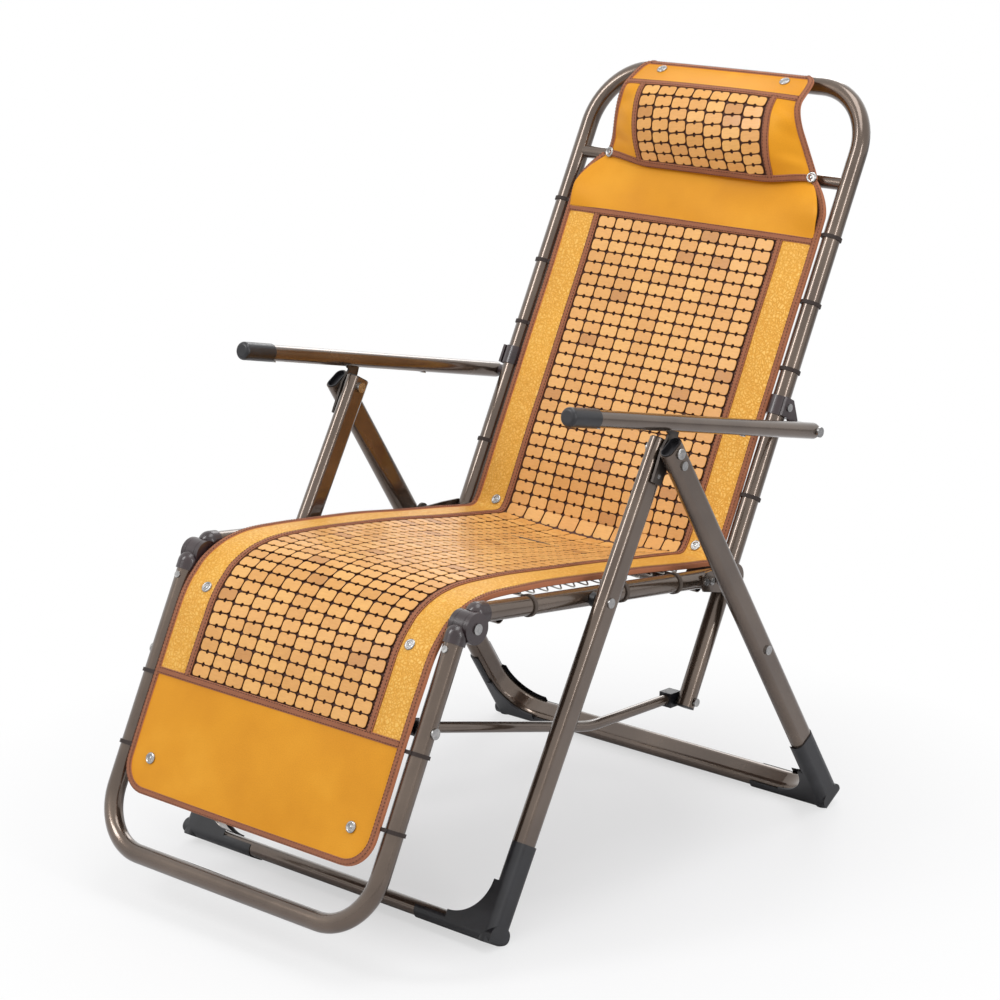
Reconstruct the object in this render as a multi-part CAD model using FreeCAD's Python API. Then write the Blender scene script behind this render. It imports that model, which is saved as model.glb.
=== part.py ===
import FreeCAD, Part
import math
import os

V = FreeCAD.Vector

# Side view: y runs to the back, z up, both measured from where the front feet meet the floor.
# x is across the chair, with the sitter's left at +x.

# Lateral places of the tubes
x_seat = 237.0
x_front_leg = 268.0
x_rear_leg = 295.0
x_armrest = 284.5
x_rod = 213.0

# Tube sizes
tube_r = 12.5
tube_wall = 1.3
arm_r = 11.0
arm_wall = 1.2
leg_thin = 20.0
leg_wide = 36.0
leg_wall = 1.5
bar_r = 9.0
rod_r = 7.0

# Fits
bolt_r = 4.0
running_fit = 0.05
turn_r = bolt_r + running_fit
rivet_r = 3.0

# Leg frames: middle of the floor bar, the slope of the frame's plane, and what stands above the crossing
front_bar_y = -1.5
front_bar_z = 15.8
front_angle = 60.47
front_over = 12.0
rear_bar_y = 664.0
rear_bar_z = 16.2
rear_angle = 122.25
rear_over = 10.7
leg_bend = 66.0

# Pivots in the side view
leg_pivot = (314.0, 575.0)
rear_rivet = (321.5, 558.0)
rail_pivot = (211.0, 397.5)
back_pivot = (502.0, 359.5)
link_bolt = (507.0, 268.3)
link_top = (462.3, 364.7)
knee_pivot = (-10.0, 411.5)
rod_rear = (423.0, 204.0)
rod_front = (-83.0, 297.0)
arm_pivot = (624.0, 543.5)

# Seat rails
rail_angle = -7.39
rail_offset = 15.0
rail_gap_back = 34.0
socket_depth = 22.0

# Backrest
back_angle = 62.48
back_down = 183.0
back_up = 691.5
back_bend = 90.0
head_bar_s = 557.0

# Leg rest
rest_angle = 243.2
rest_length = 391.9
rest_bend = 75.0

# Armrest
arm_angle = 167.52
arm_front = 518.0
arm_cap = 42.0
arm_slot_from = 165.0
arm_slot_to = 440.0

# Mat
mat_gap = 5.5
mat_half = x_seat - tube_r - mat_gap
back_mat_end = 552.0
back_mat_corner = 47.0
back_mat_neck = 29.0
seat_mat_start = 24.0
mat_low = 9.0
mat_thick = 9.0
rest_mat_low = 16.2
rest_mat_thick = 5.0
hinge_clear = 54.0


def along(start, angle, distance, side=0.0):
    a = math.radians(angle)
    y = start[0] + distance * math.cos(a) - side * math.sin(a)
    z = start[1] + distance * math.sin(a) + side * math.cos(a)
    return (y, z)


def run_to(start, angle, at):
    a = math.radians(angle)
    return (at[0] - start[0]) * math.cos(a) + (at[1] - start[1]) * math.sin(a)


def tilted(shape, origin, angle):
    # Local x stays across, local y runs up the slope, local z is the slope's normal.
    a = math.radians(angle)
    c = math.cos(a)
    s = math.sin(a)
    m = FreeCAD.Matrix(1, 0, 0, 0, 0, c, -s, origin[0], 0, s, c, origin[1], 0, 0, 0, 1)
    moved = shape.copy()
    moved.Placement = FreeCAD.Placement(m).multiply(moved.Placement)
    return moved


def cyl(radius, x1, x2, at):
    return Part.makeCylinder(radius, x2 - x1, V(x1, at[0], at[1]), V(1, 0, 0))


def other_side(shape):
    return shape.mirror(V(0, 0, 0), V(1, 0, 0))


def pair(shape):
    return [shape, other_side(shape)]


def joined(shapes):
    result = shapes[0]
    if len(shapes) > 1:
        result = shapes[0].multiFuse(shapes[1:])
    return result.removeSplitter()


def section(centre, across, width, height):
    # A round or flat oval section; across is the in-plane direction at right angles to the tube.
    up = V(0, 0, 1)
    if abs(width - height) < 1e-6:
        edge = Part.makeCircle(width / 2, centre, across.cross(up))
        return Part.Face(Part.Wire([edge]))
    r = width / 2
    k = height / 2 - r
    p1 = centre + across * r - up * k
    p2 = centre + across * r + up * k
    p3 = centre + up * (k + r)
    p4 = centre - across * r + up * k
    p5 = centre - across * r - up * k
    p6 = centre - up * (k + r)
    edges = [
        Part.makeLine(p1, p2),
        Part.Arc(p2, p3, p4).toShape(),
        Part.makeLine(p4, p5),
        Part.Arc(p5, p6, p1).toShape(),
    ]
    return Part.Face(Part.Wire(edges))


def bent_bar(points, bend, width, height):
    # A bar along straight runs in the local plane, with a round bend at each inner point.
    solids = []
    start = points[0]
    for i in range(1, len(points)):
        corner = points[i]
        d_in = (corner - points[i - 1]).normalize()
        end = corner
        if i < len(points) - 1:
            d_out = (points[i + 1] - corner).normalize()
            turn = math.acos(max(-1.0, min(1.0, d_in.dot(d_out))))
            cut_back = bend * math.tan(turn / 2)
            end = corner - d_in * cut_back
        across = V(-d_in.y, d_in.x, 0)
        face = section(start, across, width, height)
        solids.append(face.extrude(end - start))
        if i < len(points) - 1:
            left = d_in.cross(d_out).z > 0
            side = across if left else across * -1
            centre = end + side * bend
            face = section(end, across, width, height)
            axis = V(0, 0, 1) if left else V(0, 0, -1)
            solids.append(face.revolve(centre, axis, math.degrees(turn)))
            start = corner + d_out * cut_back
    return joined(solids)


def bent_tube(points, bend, width, height, wall):
    outer = bent_bar(points, bend, width, height)
    first = (points[0] - points[1]).normalize()
    last = (points[-1] - points[-2]).normalize()
    longer = [points[0] + first * 1.0] + points[1:-1] + [points[-1] + last * 1.0]
    inner = bent_bar(longer, bend, width - 2 * wall, height - 2 * wall)
    return outer.cut(inner)


def straight_tube(radius, wall, start, end):
    run = end - start
    outer = Part.makeCylinder(radius, run.Length, start, run)
    step = V(run).normalize()
    inner = Part.makeCylinder(radius - wall, run.Length + 2, start - step, run)
    return outer.cut(inner)


def plate(points, x1, x2):
    # A flat plate in the side view, given by its corners.
    corners = [V(x1, p[0], p[1]) for p in points]
    face = Part.Face(Part.makePolygon(corners + [corners[0]]))
    return face.extrude(V(x2 - x1, 0, 0))


def bolt(at, x1, x2, head_r, head_h, nut_h):
    # A domed head outside, a nut inside, on a plain shank.
    shank = cyl(bolt_r, x1, x2, at)
    head = cyl(head_r, x2, x2 + head_h, at)
    top = V(x2 + head_h, at[0], at[1])
    rim = [e for e in head.Edges if (e.CenterOfMass - top).Length < 0.1]
    head = head.makeFillet(head_h * 0.6, rim[:1])
    parts = [shank, head]
    if nut_h > 0:
        nut = Part.makeCylinder(head_r * 0.95, nut_h, V(x1 - nut_h, at[0], at[1]), V(1, 0, 0))
        parts.append(nut)
    return joined(parts)


made = {}


# Front and rear leg frames
def leg_frame(half, length):
    points = [V(half, length, 0), V(half, 0, 0), V(-half, 0, 0), V(-half, length, 0)]
    return bent_tube(points, leg_bend, leg_thin, leg_wide, leg_wall)


front_bar = (front_bar_y, front_bar_z)
rear_bar = (rear_bar_y, rear_bar_z)
front_length = run_to(front_bar, front_angle, leg_pivot) + front_over
rear_length = run_to(rear_bar, rear_angle, leg_pivot) + rear_over
front_frame = tilted(leg_frame(x_front_leg, front_length), front_bar, front_angle)
rear_frame = tilted(leg_frame(x_rear_leg, rear_length), rear_bar, rear_angle)

front_holes = [
    cyl(bolt_r, x_front_leg - 12, x_front_leg + 12, leg_pivot),
    cyl(bolt_r, x_front_leg - 12, x_front_leg + 12, rail_pivot),
]
hook_rivet_at = along(leg_pivot, front_angle, -34.0)
front_holes.append(cyl(rivet_r, x_front_leg, x_front_leg + 12, hook_rivet_at))
rear_holes = [
    cyl(turn_r, x_rear_leg - 12, x_rear_leg + 12, leg_pivot),
    cyl(bolt_r, x_rear_leg - 12, x_rear_leg + 12, link_bolt),
    cyl(rivet_r, x_rear_leg, x_rear_leg + 12, rear_rivet),
]
for hole in front_holes:
    for one in pair(hole):
        front_frame = front_frame.cut(one)
for hole in rear_holes:
    for one in pair(hole):
        rear_frame = rear_frame.cut(one)
made["front_leg_frame"] = [front_frame]
made["rear_leg_frame"] = [rear_frame]


# Corner feet: a boot round each bend, open on the inside, cut flat where it stands
shell_wide = leg_wide + 3.4
shell_thin = leg_thin + 3.4
shell_reach = 118.0
shell_drop = 0.9
corner_r = 9.0


def foot(half, normal_down, bar, angle):
    low = -shell_wide / 2
    skin = shell_thin / 2
    upright = section(V(half, -skin, 0), V(1, 0, 0), shell_thin, shell_wide)
    lying = section(V(half + skin, 0, 0), V(0, 1, 0), shell_thin, shell_wide)
    band = joined([
        upright.extrude(V(0, shell_reach + skin, 0)),
        lying.extrude(V(-shell_reach - skin, 0, 0)),
    ])
    heel = Part.makeBox(corner_r, corner_r, shell_wide, V(half + skin - corner_r, -skin, low))
    heel = heel.cut(Part.makeCylinder(corner_r, shell_wide, V(half + skin - corner_r, corner_r - skin, low)))
    band = band.cut(heel)
    inner_r = leg_bend - skin
    cx = half - leg_bend
    cy = leg_bend
    outline = [
        Part.makeLine(V(half, cy, low), V(half, 0, low)),
        Part.makeLine(V(half, 0, low), V(cx, 0, low)),
        Part.makeLine(V(cx, 0, low), V(cx, skin, low)),
        Part.Arc(
            V(cx, skin, low),
            V(cx + inner_r * math.cos(math.pi / 4), cy - inner_r * math.sin(math.pi / 4), low),
            V(half - skin, cy, low),
        ).toShape(),
        Part.makeLine(V(half - skin, cy, low), V(half, cy, low)),
    ]
    web = Part.Face(Part.Wire(outline)).extrude(V(0, 0, shell_wide))
    body = band.fuse(web)
    body.translate(V(0, 0, normal_down * shell_drop))
    hollow = bent_bar(
        [V(half, shell_reach + 2, 0), V(half, 0, 0), V(half - shell_reach - 2, 0, 0)],
        leg_bend, leg_thin, leg_wide,
    )
    body = body.cut(hollow)
    lid = leg_wide / 2
    opening = [
        V(half, shell_reach + 5, -lid),
        V(half, leg_bend, -lid),
        V(half - leg_bend * 0.29, leg_bend * 0.29, -lid),
        V(half - leg_bend, 0, -lid),
        V(half - shell_reach - 5, 0, -lid),
        V(half - shell_reach - 5, shell_reach + 5, -lid),
    ]
    mouth = Part.Face(Part.makePolygon(opening + [opening[0]])).extrude(V(0, 0, leg_wide))
    body = body.cut(mouth)
    placed = tilted(body, bar, angle)
    under = Part.makeBox(800, 400, 50, V(0, bar[0] - 200, -50))
    placed = placed.cut(under)
    solids = sorted(placed.Solids, key=lambda s: -s.Volume)
    return solids[0]


front_foot = foot(x_front_leg, -1, front_bar, front_angle)
rear_foot = foot(x_rear_leg, 1, rear_bar, rear_angle)
made["front_foot_left"] = [front_foot]
made["front_foot_right"] = [other_side(front_foot)]
made["rear_foot_left"] = [rear_foot]
made["rear_foot_right"] = [other_side(rear_foot)]


# Plugs in the open tops of the legs
plug_depth = 6.0


def top_plug(half, length):
    inner_w = leg_thin - 2 * leg_wall
    inner_h = leg_wide - 2 * leg_wall
    body = bent_bar([V(half, length - plug_depth, 0), V(half, length + 1.5, 0)], 1, inner_w, inner_h)
    well_run = [V(half, length - plug_depth + 2, 0), V(half, length + 3, 0)]
    well = bent_bar(well_run, 1, inner_w - 3, inner_h - 3)
    return body.cut(well)


made["front_leg_plugs"] = pair(tilted(top_plug(x_front_leg, front_length), front_bar, front_angle))
made["rear_leg_plugs"] = pair(tilted(top_plug(x_rear_leg, rear_length), rear_bar, rear_angle))


# Scissor pivot of the legs, with the armrest hook plate between the two legs
front_outer = x_front_leg + leg_thin / 2
rear_inner = x_rear_leg - leg_thin / 2
rear_outer = x_rear_leg + leg_thin / 2
hook_x1 = 281.0
hook_x2 = 284.6
made["leg_pivot_bolts"] = pair(bolt(leg_pivot, x_front_leg - leg_thin / 2, rear_outer + 0.3, 7.5, 3.2, 4.5))
spacer = cyl(9.0, front_outer, hook_x1, leg_pivot).cut(cyl(bolt_r, front_outer - 1, hook_x1 + 1, leg_pivot))
made["leg_pivot_spacers"] = pair(spacer)
hook_points = [
    along(leg_pivot, front_angle, -44.0, 9.0),
    along(leg_pivot, front_angle, -44.0, -9.0),
    along(leg_pivot, front_angle, 0.0, -13.0),
    (334.0, 588.0),
    (337.0, 597.0),
    (333.0, 604.5),
    (318.0, 605.0),
    (314.0, 600.0),
    (318.0, 596.5),
    (313.0, 591.0),
    along(leg_pivot, front_angle, 0.0, 12.0),
]
hook = plate(hook_points, hook_x1, hook_x2)
hook = hook.cut(cyl(bolt_r, hook_x1 - 1, hook_x2 + 1, leg_pivot))
hook = hook.cut(cyl(rivet_r, hook_x1 - 1, hook_x2 + 1, hook_rivet_at))
made["armrest_hooks"] = pair(hook)
shoulder = cyl(6.0, front_outer, hook_x1, hook_rivet_at)
hook_rivet = joined([cyl(rivet_r, front_outer - 4, hook_x2, hook_rivet_at), shoulder])
made["hook_rivets"] = pair(hook_rivet)
rear_rivet_body = joined([
    cyl(rivet_r, rear_outer - 4, rear_outer, rear_rivet),
    cyl(6.0, rear_outer, rear_outer + 2.2, rear_rivet),
])
made["rear_leg_rivets"] = pair(rear_rivet_body)


# Seat rails with the knee sockets
rail_foot = along(knee_pivot, rail_angle, 0.0, rail_offset)
rail_start = along(rail_foot, rail_angle, socket_depth)
rail_run = (back_pivot[0] - rail_start[0]) / math.cos(math.radians(rail_angle)) - rail_gap_back
rail_end = along(rail_start, rail_angle, rail_run)
rail_from = V(x_seat, rail_start[0], rail_start[1])
rail_to = V(x_seat, rail_end[0], rail_end[1])
rail = straight_tube(tube_r, tube_wall, rail_from, rail_to)
rail = rail.cut(cyl(turn_r, x_seat - 20, x_seat + 20, rail_pivot))
hinge_rivets_at = [along(back_pivot, 180 + rail_angle, 51.0), along(back_pivot, 180 + rail_angle, 63.0)]
for at in hinge_rivets_at:
    rail = rail.cut(cyl(rivet_r, x_seat - 20, x_seat + 20, at))
made["seat_rail_left"] = [rail]
made["seat_rail_right"] = [other_side(rail)]

rail_way = V(0, rail_end[0] - rail_start[0], rail_end[1] - rail_start[1])
rail_solid = Part.makeCylinder(tube_r, 600, V(x_seat, rail_start[0], rail_start[1]), rail_way)
cross_tubes = []
for distance in (62.0, 460.0):
    at = along(rail_start, rail_angle, distance - socket_depth, -10.0)
    tube = straight_tube(bar_r, 1.2, V(-x_seat + 4, at[0], at[1]), V(x_seat - 4, at[0], at[1]))
    tube = tube.cut(rail_solid).cut(other_side(rail_solid))
    solids = sorted(tube.Solids, key=lambda s: -s.Volume)
    cross_tubes.append(solids[0])
made["seat_cross_tubes"] = cross_tubes

# Rail pivot on the front leg
rail_outer = x_seat + tube_r
front_inner = x_front_leg - leg_thin / 2
rail_bolt = joined([
    cyl(bolt_r, x_seat - tube_r - 0.8, front_outer, rail_pivot),
    cyl(6.5, x_seat - tube_r - 4.2, x_seat - tube_r - 0.8, rail_pivot),
    cyl(6.5, front_outer, front_outer + 2.2, rail_pivot),
])
made["rail_pivot_bolts"] = pair(rail_bolt)
rail_spacer = cyl(10.0, rail_outer + 0.6, front_inner, rail_pivot)
rail_spacer = rail_spacer.cut(cyl(bolt_r, rail_outer, front_inner + 1, rail_pivot))
made["rail_pivot_spacers"] = pair(rail_spacer)

# Hinge plates from the rail end to the backrest
plate_gap = 0.4
plate_thick = 2.5
plate_in = x_seat - tube_r - plate_gap
plate_out = x_seat + tube_r + plate_gap


def hinge_plate(x1, x2):
    toward = 180 + rail_angle
    corners = [
        along(back_pivot, toward, 70.0, 8.0),
        along(back_pivot, toward, 66.0, 13.0),
        along(back_pivot, toward, 30.0, 17.0),
        along(back_pivot, toward, 0.0, 19.0),
        along(back_pivot, toward, 0.0, -19.0),
        along(back_pivot, toward, 30.0, -17.0),
        along(back_pivot, toward, 66.0, -13.0),
        along(back_pivot, toward, 70.0, -8.0),
    ]
    body = joined([plate(corners, x1, x2), cyl(19.0, x1, x2, back_pivot)])
    body = body.cut(cyl(turn_r, x1 - 1, x2 + 1, back_pivot))
    for rivet_at in hinge_rivets_at:
        body = body.cut(cyl(rivet_r, x1 - 1, x2 + 1, rivet_at))
    return body


plates = [hinge_plate(plate_in - plate_thick, plate_in), hinge_plate(plate_out, plate_out + plate_thick)]
made["hinge_plates_left"] = plates
made["hinge_plates_right"] = [other_side(p) for p in plates]
hinge_rivets = []
for at in hinge_rivets_at:
    rivet = joined([
        cyl(rivet_r, plate_in - plate_thick, plate_out + plate_thick, at),
        cyl(5.0, plate_in - plate_thick - 1.6, plate_in - plate_thick, at),
        cyl(5.0, plate_out + plate_thick, plate_out + plate_thick + 1.6, at),
    ])
    hinge_rivets += pair(rivet)
made["hinge_plate_rivets"] = hinge_rivets
pin_out = plate_out + plate_thick + 0.4
pin_in = plate_in - plate_thick - 0.4
back_bolt = joined([
    cyl(bolt_r, pin_in, pin_out, back_pivot),
    cyl(7.5, pin_in - 3.0, pin_in, back_pivot),
    cyl(7.5, pin_out, pin_out + 3.0, back_pivot),
])
made["back_pivot_bolts"] = pair(back_bolt)


# Backrest frame, head bar and plugs
back_points = [
    V(x_seat, -back_down, 0),
    V(x_seat, back_up, 0),
    V(-x_seat, back_up, 0),
    V(-x_seat, -back_down, 0),
]
back_frame = bent_tube(back_points, back_bend, 2 * tube_r, 2 * tube_r, tube_wall)
back_frame = tilted(back_frame, back_pivot, back_angle)
mount_rivet_s = 240.0
mount_rivet_at = along(back_pivot, back_angle, mount_rivet_s)
for at, radius in ((back_pivot, turn_r), (rod_rear, turn_r), (mount_rivet_at, rivet_r)):
    for hole in pair(cyl(radius, x_seat - 20, x_seat + 20, at)):
        back_frame = back_frame.cut(hole)
made["back_frame"] = [back_frame]

head_at = along(back_pivot, back_angle, head_bar_s)
back_solid = tilted(bent_bar(back_points, back_bend, 2 * tube_r, 2 * tube_r), back_pivot, back_angle)
head_bar = straight_tube(bar_r, 1.2, V(-x_seat, head_at[0], head_at[1]), V(x_seat, head_at[0], head_at[1]))
head_bar = head_bar.cut(back_solid)
made["head_bar"] = [sorted(head_bar.Solids, key=lambda s: -s.Volume)[0]]

low_end = along(back_pivot, back_angle, -back_down)
plug_top = along(low_end, back_angle, 4.0)
plug_rim = along(low_end, back_angle, -2.0)
low_dir = V(0, plug_top[0] - low_end[0], plug_top[1] - low_end[1])
plug = joined([
    Part.makeCylinder(tube_r - tube_wall, 4.0, V(x_seat, low_end[0], low_end[1]), low_dir),
    Part.makeCylinder(tube_r, 2.0, V(x_seat, plug_rim[0], plug_rim[1]), low_dir),
])
made["back_tube_plugs"] = pair(plug)

# Armrest mounts on the backrest
mount_a = along(back_pivot, back_angle, mount_rivet_s - 14)
mount_b = along(back_pivot, back_angle, mount_rivet_s + 12)
mount_run = V(0, mount_b[0] - mount_a[0], mount_b[1] - mount_a[1])
collar = Part.makeCylinder(tube_r + 2.5, mount_run.Length, V(x_seat, mount_a[0], mount_a[1]), mount_run)
lug_x1 = rail_outer + 0.5
lug_x2 = x_seat + tube_r + 4.5
lug = plate([
    along(back_pivot, back_angle, mount_rivet_s - 14, 11.0),
    along(back_pivot, back_angle, mount_rivet_s + 12, 11.0),
    along(back_pivot, back_angle, mount_rivet_s + 12, -6.0),
    (arm_pivot[0] + 8.5, arm_pivot[1] + 8.5),
    (arm_pivot[0] + 8.5, arm_pivot[1] - 8.5),
    (arm_pivot[0] - 2.0, arm_pivot[1] - 12.0),
    along(back_pivot, back_angle, mount_rivet_s - 14, -6.0),
], lug_x1, lug_x2)
boss = cyl(9.0, lug_x1, x_armrest - arm_r - 0.5, arm_pivot)
mount = joined([collar, lug, boss])
mount = mount.cut(back_solid)
mount = sorted(mount.Solids, key=lambda s: -s.Volume)[0]
mount = mount.cut(cyl(turn_r, lug_x1 - 5, x_armrest, arm_pivot))
mount = mount.cut(cyl(rivet_r, x_seat - 30, x_seat + 30, mount_rivet_at))
made["armrest_mount_left"] = [mount]
made["armrest_mount_right"] = [other_side(mount)]
mount_rivet = joined([
    cyl(rivet_r, x_seat - tube_r - 2.5, lug_x2, mount_rivet_at),
    cyl(5.5, lug_x2, lug_x2 + 2.0, mount_rivet_at),
    cyl(5.5, x_seat - tube_r - 4.5, x_seat - tube_r - 2.5, mount_rivet_at),
])
made["mount_rivets"] = pair(mount_rivet)


# Armrests: a straight tube with a domed rear end, a slotted underside and a front cap
arm_dir = V(0, math.cos(math.radians(arm_angle)), math.sin(math.radians(arm_angle)))
arm_down = V(0, math.sin(math.radians(arm_angle)), -math.cos(math.radians(arm_angle))) * -1
if arm_down.z > 0:
    arm_down = arm_down * -1
arm_at = V(x_armrest, arm_pivot[0], arm_pivot[1])
arm_end = arm_front - arm_cap
arm_tube = Part.makeCylinder(arm_r, arm_end, arm_at, arm_dir)
arm_tube = arm_tube.fuse(Part.makeSphere(arm_r, arm_at))
arm_bore = Part.makeCylinder(arm_r - arm_wall, arm_end - 14, arm_at + arm_dir * 15, arm_dir)
arm_tube = arm_tube.removeSplitter().cut(arm_bore)


def slot_bar(x1, x2, start, stop, top, bottom):
    a = arm_at + arm_dir * start + arm_down * top
    b = arm_at + arm_dir * stop + arm_down * top
    c = arm_at + arm_dir * stop + arm_down * bottom
    d = arm_at + arm_dir * start + arm_down * bottom
    corners = [V(x1, p.y, p.z) for p in (a, b, c, d)]
    return Part.Face(Part.makePolygon(corners + [corners[0]])).extrude(V(x2 - x1, 0, 0))


slot_x1 = hook_x1 - 1.2
slot_x2 = hook_x2 + 1.2
arm_tube = arm_tube.cut(slot_bar(slot_x1, slot_x2, arm_slot_from, arm_slot_to, 2.0, 14.0))
arm_tube = arm_tube.cut(cyl(turn_r, x_armrest - 20, x_armrest + 20, arm_pivot))
arm_rivets_at = [along(arm_pivot, arm_angle, 177.0), along(arm_pivot, arm_angle, 416.0)]
strip_outer = Part.makeCylinder(arm_r - arm_wall, 300.0, arm_at + arm_dir * 150.0, arm_dir)
strip_inner = Part.makeCylinder(arm_r - arm_wall - 1.4, 302.0, arm_at + arm_dir * 149.0, arm_dir)
strip = strip_outer.cut(strip_inner)
keep = slot_bar(x_armrest - 9.0, x_armrest + 9.0, 150.0, 450.0, 5.5, 12.0)
strip = strip.common(keep)
strip = strip.cut(slot_bar(slot_x1 - 0.3, slot_x2 + 0.3, arm_slot_from, arm_slot_to, 2.0, 14.0))
strip = sorted(strip.Solids, key=lambda s: -s.Volume)[0]
made["armrest_left"] = [arm_tube]
made["armrest_right"] = [other_side(arm_tube)]
made["armrest_slot_strips"] = pair(strip)

cap_start = arm_end - 12.0
cap_axis = arm_at + arm_dir * cap_start
cap = Part.makeCylinder(arm_r + 1.4, arm_cap + 12.0 - 6.0, cap_axis, arm_dir)
nose_at = arm_at + arm_dir * (arm_front - 6.0)
nose = Part.makeCylinder(arm_r + 1.4, 6.0, nose_at, arm_dir)
front_rim = [e for e in nose.Edges if (e.CenterOfMass - (arm_at + arm_dir * arm_front)).Length < 0.1]
nose = nose.makeFillet(5.0, front_rim[:1])
cap = joined([cap, nose])
cap = cap.cut(Part.makeCylinder(arm_r, arm_end - cap_start, cap_axis, arm_dir))
made["armrest_caps"] = pair(cap)
arm_rivets = []
for distance in (150.5, 452.0):
    at = arm_at + arm_dir * (distance + 5.0)
    inner = at + arm_down * (arm_r - arm_wall - 3.0)
    stem = Part.makeCylinder(2.0, arm_wall + 3.0, inner, arm_down)
    head = Part.makeCylinder(4.0, 1.2, inner + arm_down * (arm_wall + 3.0), arm_down)
    arm_rivets += pair(joined([stem, head]))
arm_holes = []
for one in arm_rivets:
    arm_holes.append(one)
for name in ("armrest_left", "armrest_right"):
    body = made[name][0]
    for one in arm_holes:
        body = body.cut(one)
    made[name] = [body]
strips = []
for body in made["armrest_slot_strips"]:
    for one in arm_holes:
        body = body.cut(one)
    strips.append(sorted(body.Solids, key=lambda s: -s.Volume)[0])
made["armrest_slot_strips"] = strips
made["armrest_slot_rivets"] = arm_rivets
arm_bolt = joined([
    cyl(bolt_r, lug_x1 - 2.0, x_armrest + arm_r + 0.4, arm_pivot),
    cyl(7.0, x_armrest + arm_r + 0.4, x_armrest + arm_r + 3.4, arm_pivot),
])
made["armrest_bolts"] = pair(arm_bolt)


# Knee hinges: a short cap with a round end on each tube, joined to broad discs round the pin
disc_r = 20.0
disc_gap = 0.4
cap_r = 14.5
cap_from = 15.0
cap_end = 26.0
spigot_end = 46.0
spigot_gap = 0.1
web_end = 24.0
cheeks = [(-14.5, -7.5), (9.0, 16.0)]
tongue = [(-7.1, 8.6)]


def knuckle(angle, side, own, others):
    foot_at = along(knee_pivot, angle, 0.0, side * rail_offset)
    round_at = along(foot_at, angle, cap_from)
    end_at = along(foot_at, angle, cap_end)
    bore_at = along(foot_at, angle, socket_depth)
    way = V(0, end_at[0] - round_at[0], end_at[1] - round_at[1])
    start = V(x_seat, round_at[0], round_at[1])
    bore_start = V(x_seat, bore_at[0], bore_at[1])
    cap = joined([Part.makeSphere(cap_r, start), Part.makeCylinder(cap_r, way.Length, start, way)])
    for x1, x2 in others:
        cap = cap.cut(cyl(disc_r + disc_gap, x_seat + x1 - disc_gap, x_seat + x2 + disc_gap, knee_pivot))
    pieces = [cap]
    web = [
        along(knee_pivot, angle, 0.0, side * 2.0),
        along(knee_pivot, angle, web_end, side * 4.0),
        along(knee_pivot, angle, web_end, side * rail_offset),
        along(knee_pivot, angle, 6.0, side * 18.0),
    ]
    for x1, x2 in own:
        pieces.append(cyl(disc_r, x_seat + x1, x_seat + x2, knee_pivot))
        pieces.append(plate(web, x_seat + x1, x_seat + min(x2, 11.0)))
    body = joined(pieces)
    body = body.cut(Part.makeCylinder(tube_r, 60.0, bore_start, way))
    spigot_r = tube_r - tube_wall - spigot_gap
    body = joined([body, Part.makeCylinder(spigot_r, spigot_end - socket_depth, bore_start, way)])
    body = body.cut(cyl(turn_r, x_seat - 30, x_seat + 30, knee_pivot))
    return sorted(body.Solids, key=lambda s: -s.Volume)[0]


seat_knuckle = knuckle(rail_angle, 1, cheeks, tongue)
rest_knuckle = knuckle(rest_angle, -1, tongue, cheeks)
made["seat_knuckle_left"] = [seat_knuckle]
made["seat_knuckle_right"] = [other_side(seat_knuckle)]
made["leg_rest_knuckle_left"] = [rest_knuckle]
made["leg_rest_knuckle_right"] = [other_side(rest_knuckle)]
knee_in = x_seat + cheeks[0][0] - disc_gap
knee_out = x_seat + cheeks[1][1] + disc_gap
knee_pin = joined([
    cyl(bolt_r, knee_in, knee_out, knee_pivot),
    cyl(6.0, knee_in - 2.0, knee_in, knee_pivot),
    cyl(7.0, knee_out, knee_out + 1.8, knee_pivot),
])
made["knee_pins"] = pair(knee_pin)


# Leg rest frame
rest_foot = along(knee_pivot, rest_angle, 0.0, -rail_offset)
rest_points = [
    V(x_seat, socket_depth, 0),
    V(x_seat, rest_length, 0),
    V(-x_seat, rest_length, 0),
    V(-x_seat, socket_depth, 0),
]
rest_tube = bent_tube(rest_points, rest_bend, 2 * tube_r, 2 * tube_r, tube_wall)
rest_frame = tilted(rest_tube, rest_foot, rest_angle)


def front_rivet(distance, radius, low, high):
    """A rivet shank on the front of the leg rest tube, from low to high above the tube's middle."""
    a = along(rest_foot, rest_angle, distance, -low)
    b = along(rest_foot, rest_angle, distance, -high)
    return Part.makeCylinder(radius, high - low, V(x_seat, a[0], a[1]), V(0, b[0] - a[0], b[1] - a[1]))


rest_rivet_s = 35.0
for hole in pair(cyl(bolt_r, x_seat - 20, x_seat + 20, rod_front)):
    rest_frame = rest_frame.cut(hole)
for hole in pair(front_rivet(rest_rivet_s, rivet_r, 5.0, 20.0)):
    rest_frame = rest_frame.cut(hole)
made["leg_rest_frame"] = [rest_frame]
rest_rivet = joined([
    front_rivet(rest_rivet_s, rivet_r, tube_r - 4.0, tube_r - 0.2),
    front_rivet(rest_rivet_s, 4.5, tube_r - 0.2, tube_r + 1.4),
])
made["leg_rest_rivets"] = pair(rest_rivet)


# Recline rods, inboard of the tubes, with a black block at each end
rod_bend_at = (249.0, 208.5)
block_x1 = 204.0
block_x2 = 223.4
block_half = 9.8
block_long = 19.0
rod_in = 10.5


def stand_up(shape, x):
    m = FreeCAD.Matrix(0, 0, 1, x, 1, 0, 0, 0, 0, 1, 0, 0, 0, 0, 0, 1)
    moved = shape.copy()
    moved.Placement = FreeCAD.Placement(m).multiply(moved.Placement)
    return moved


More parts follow.
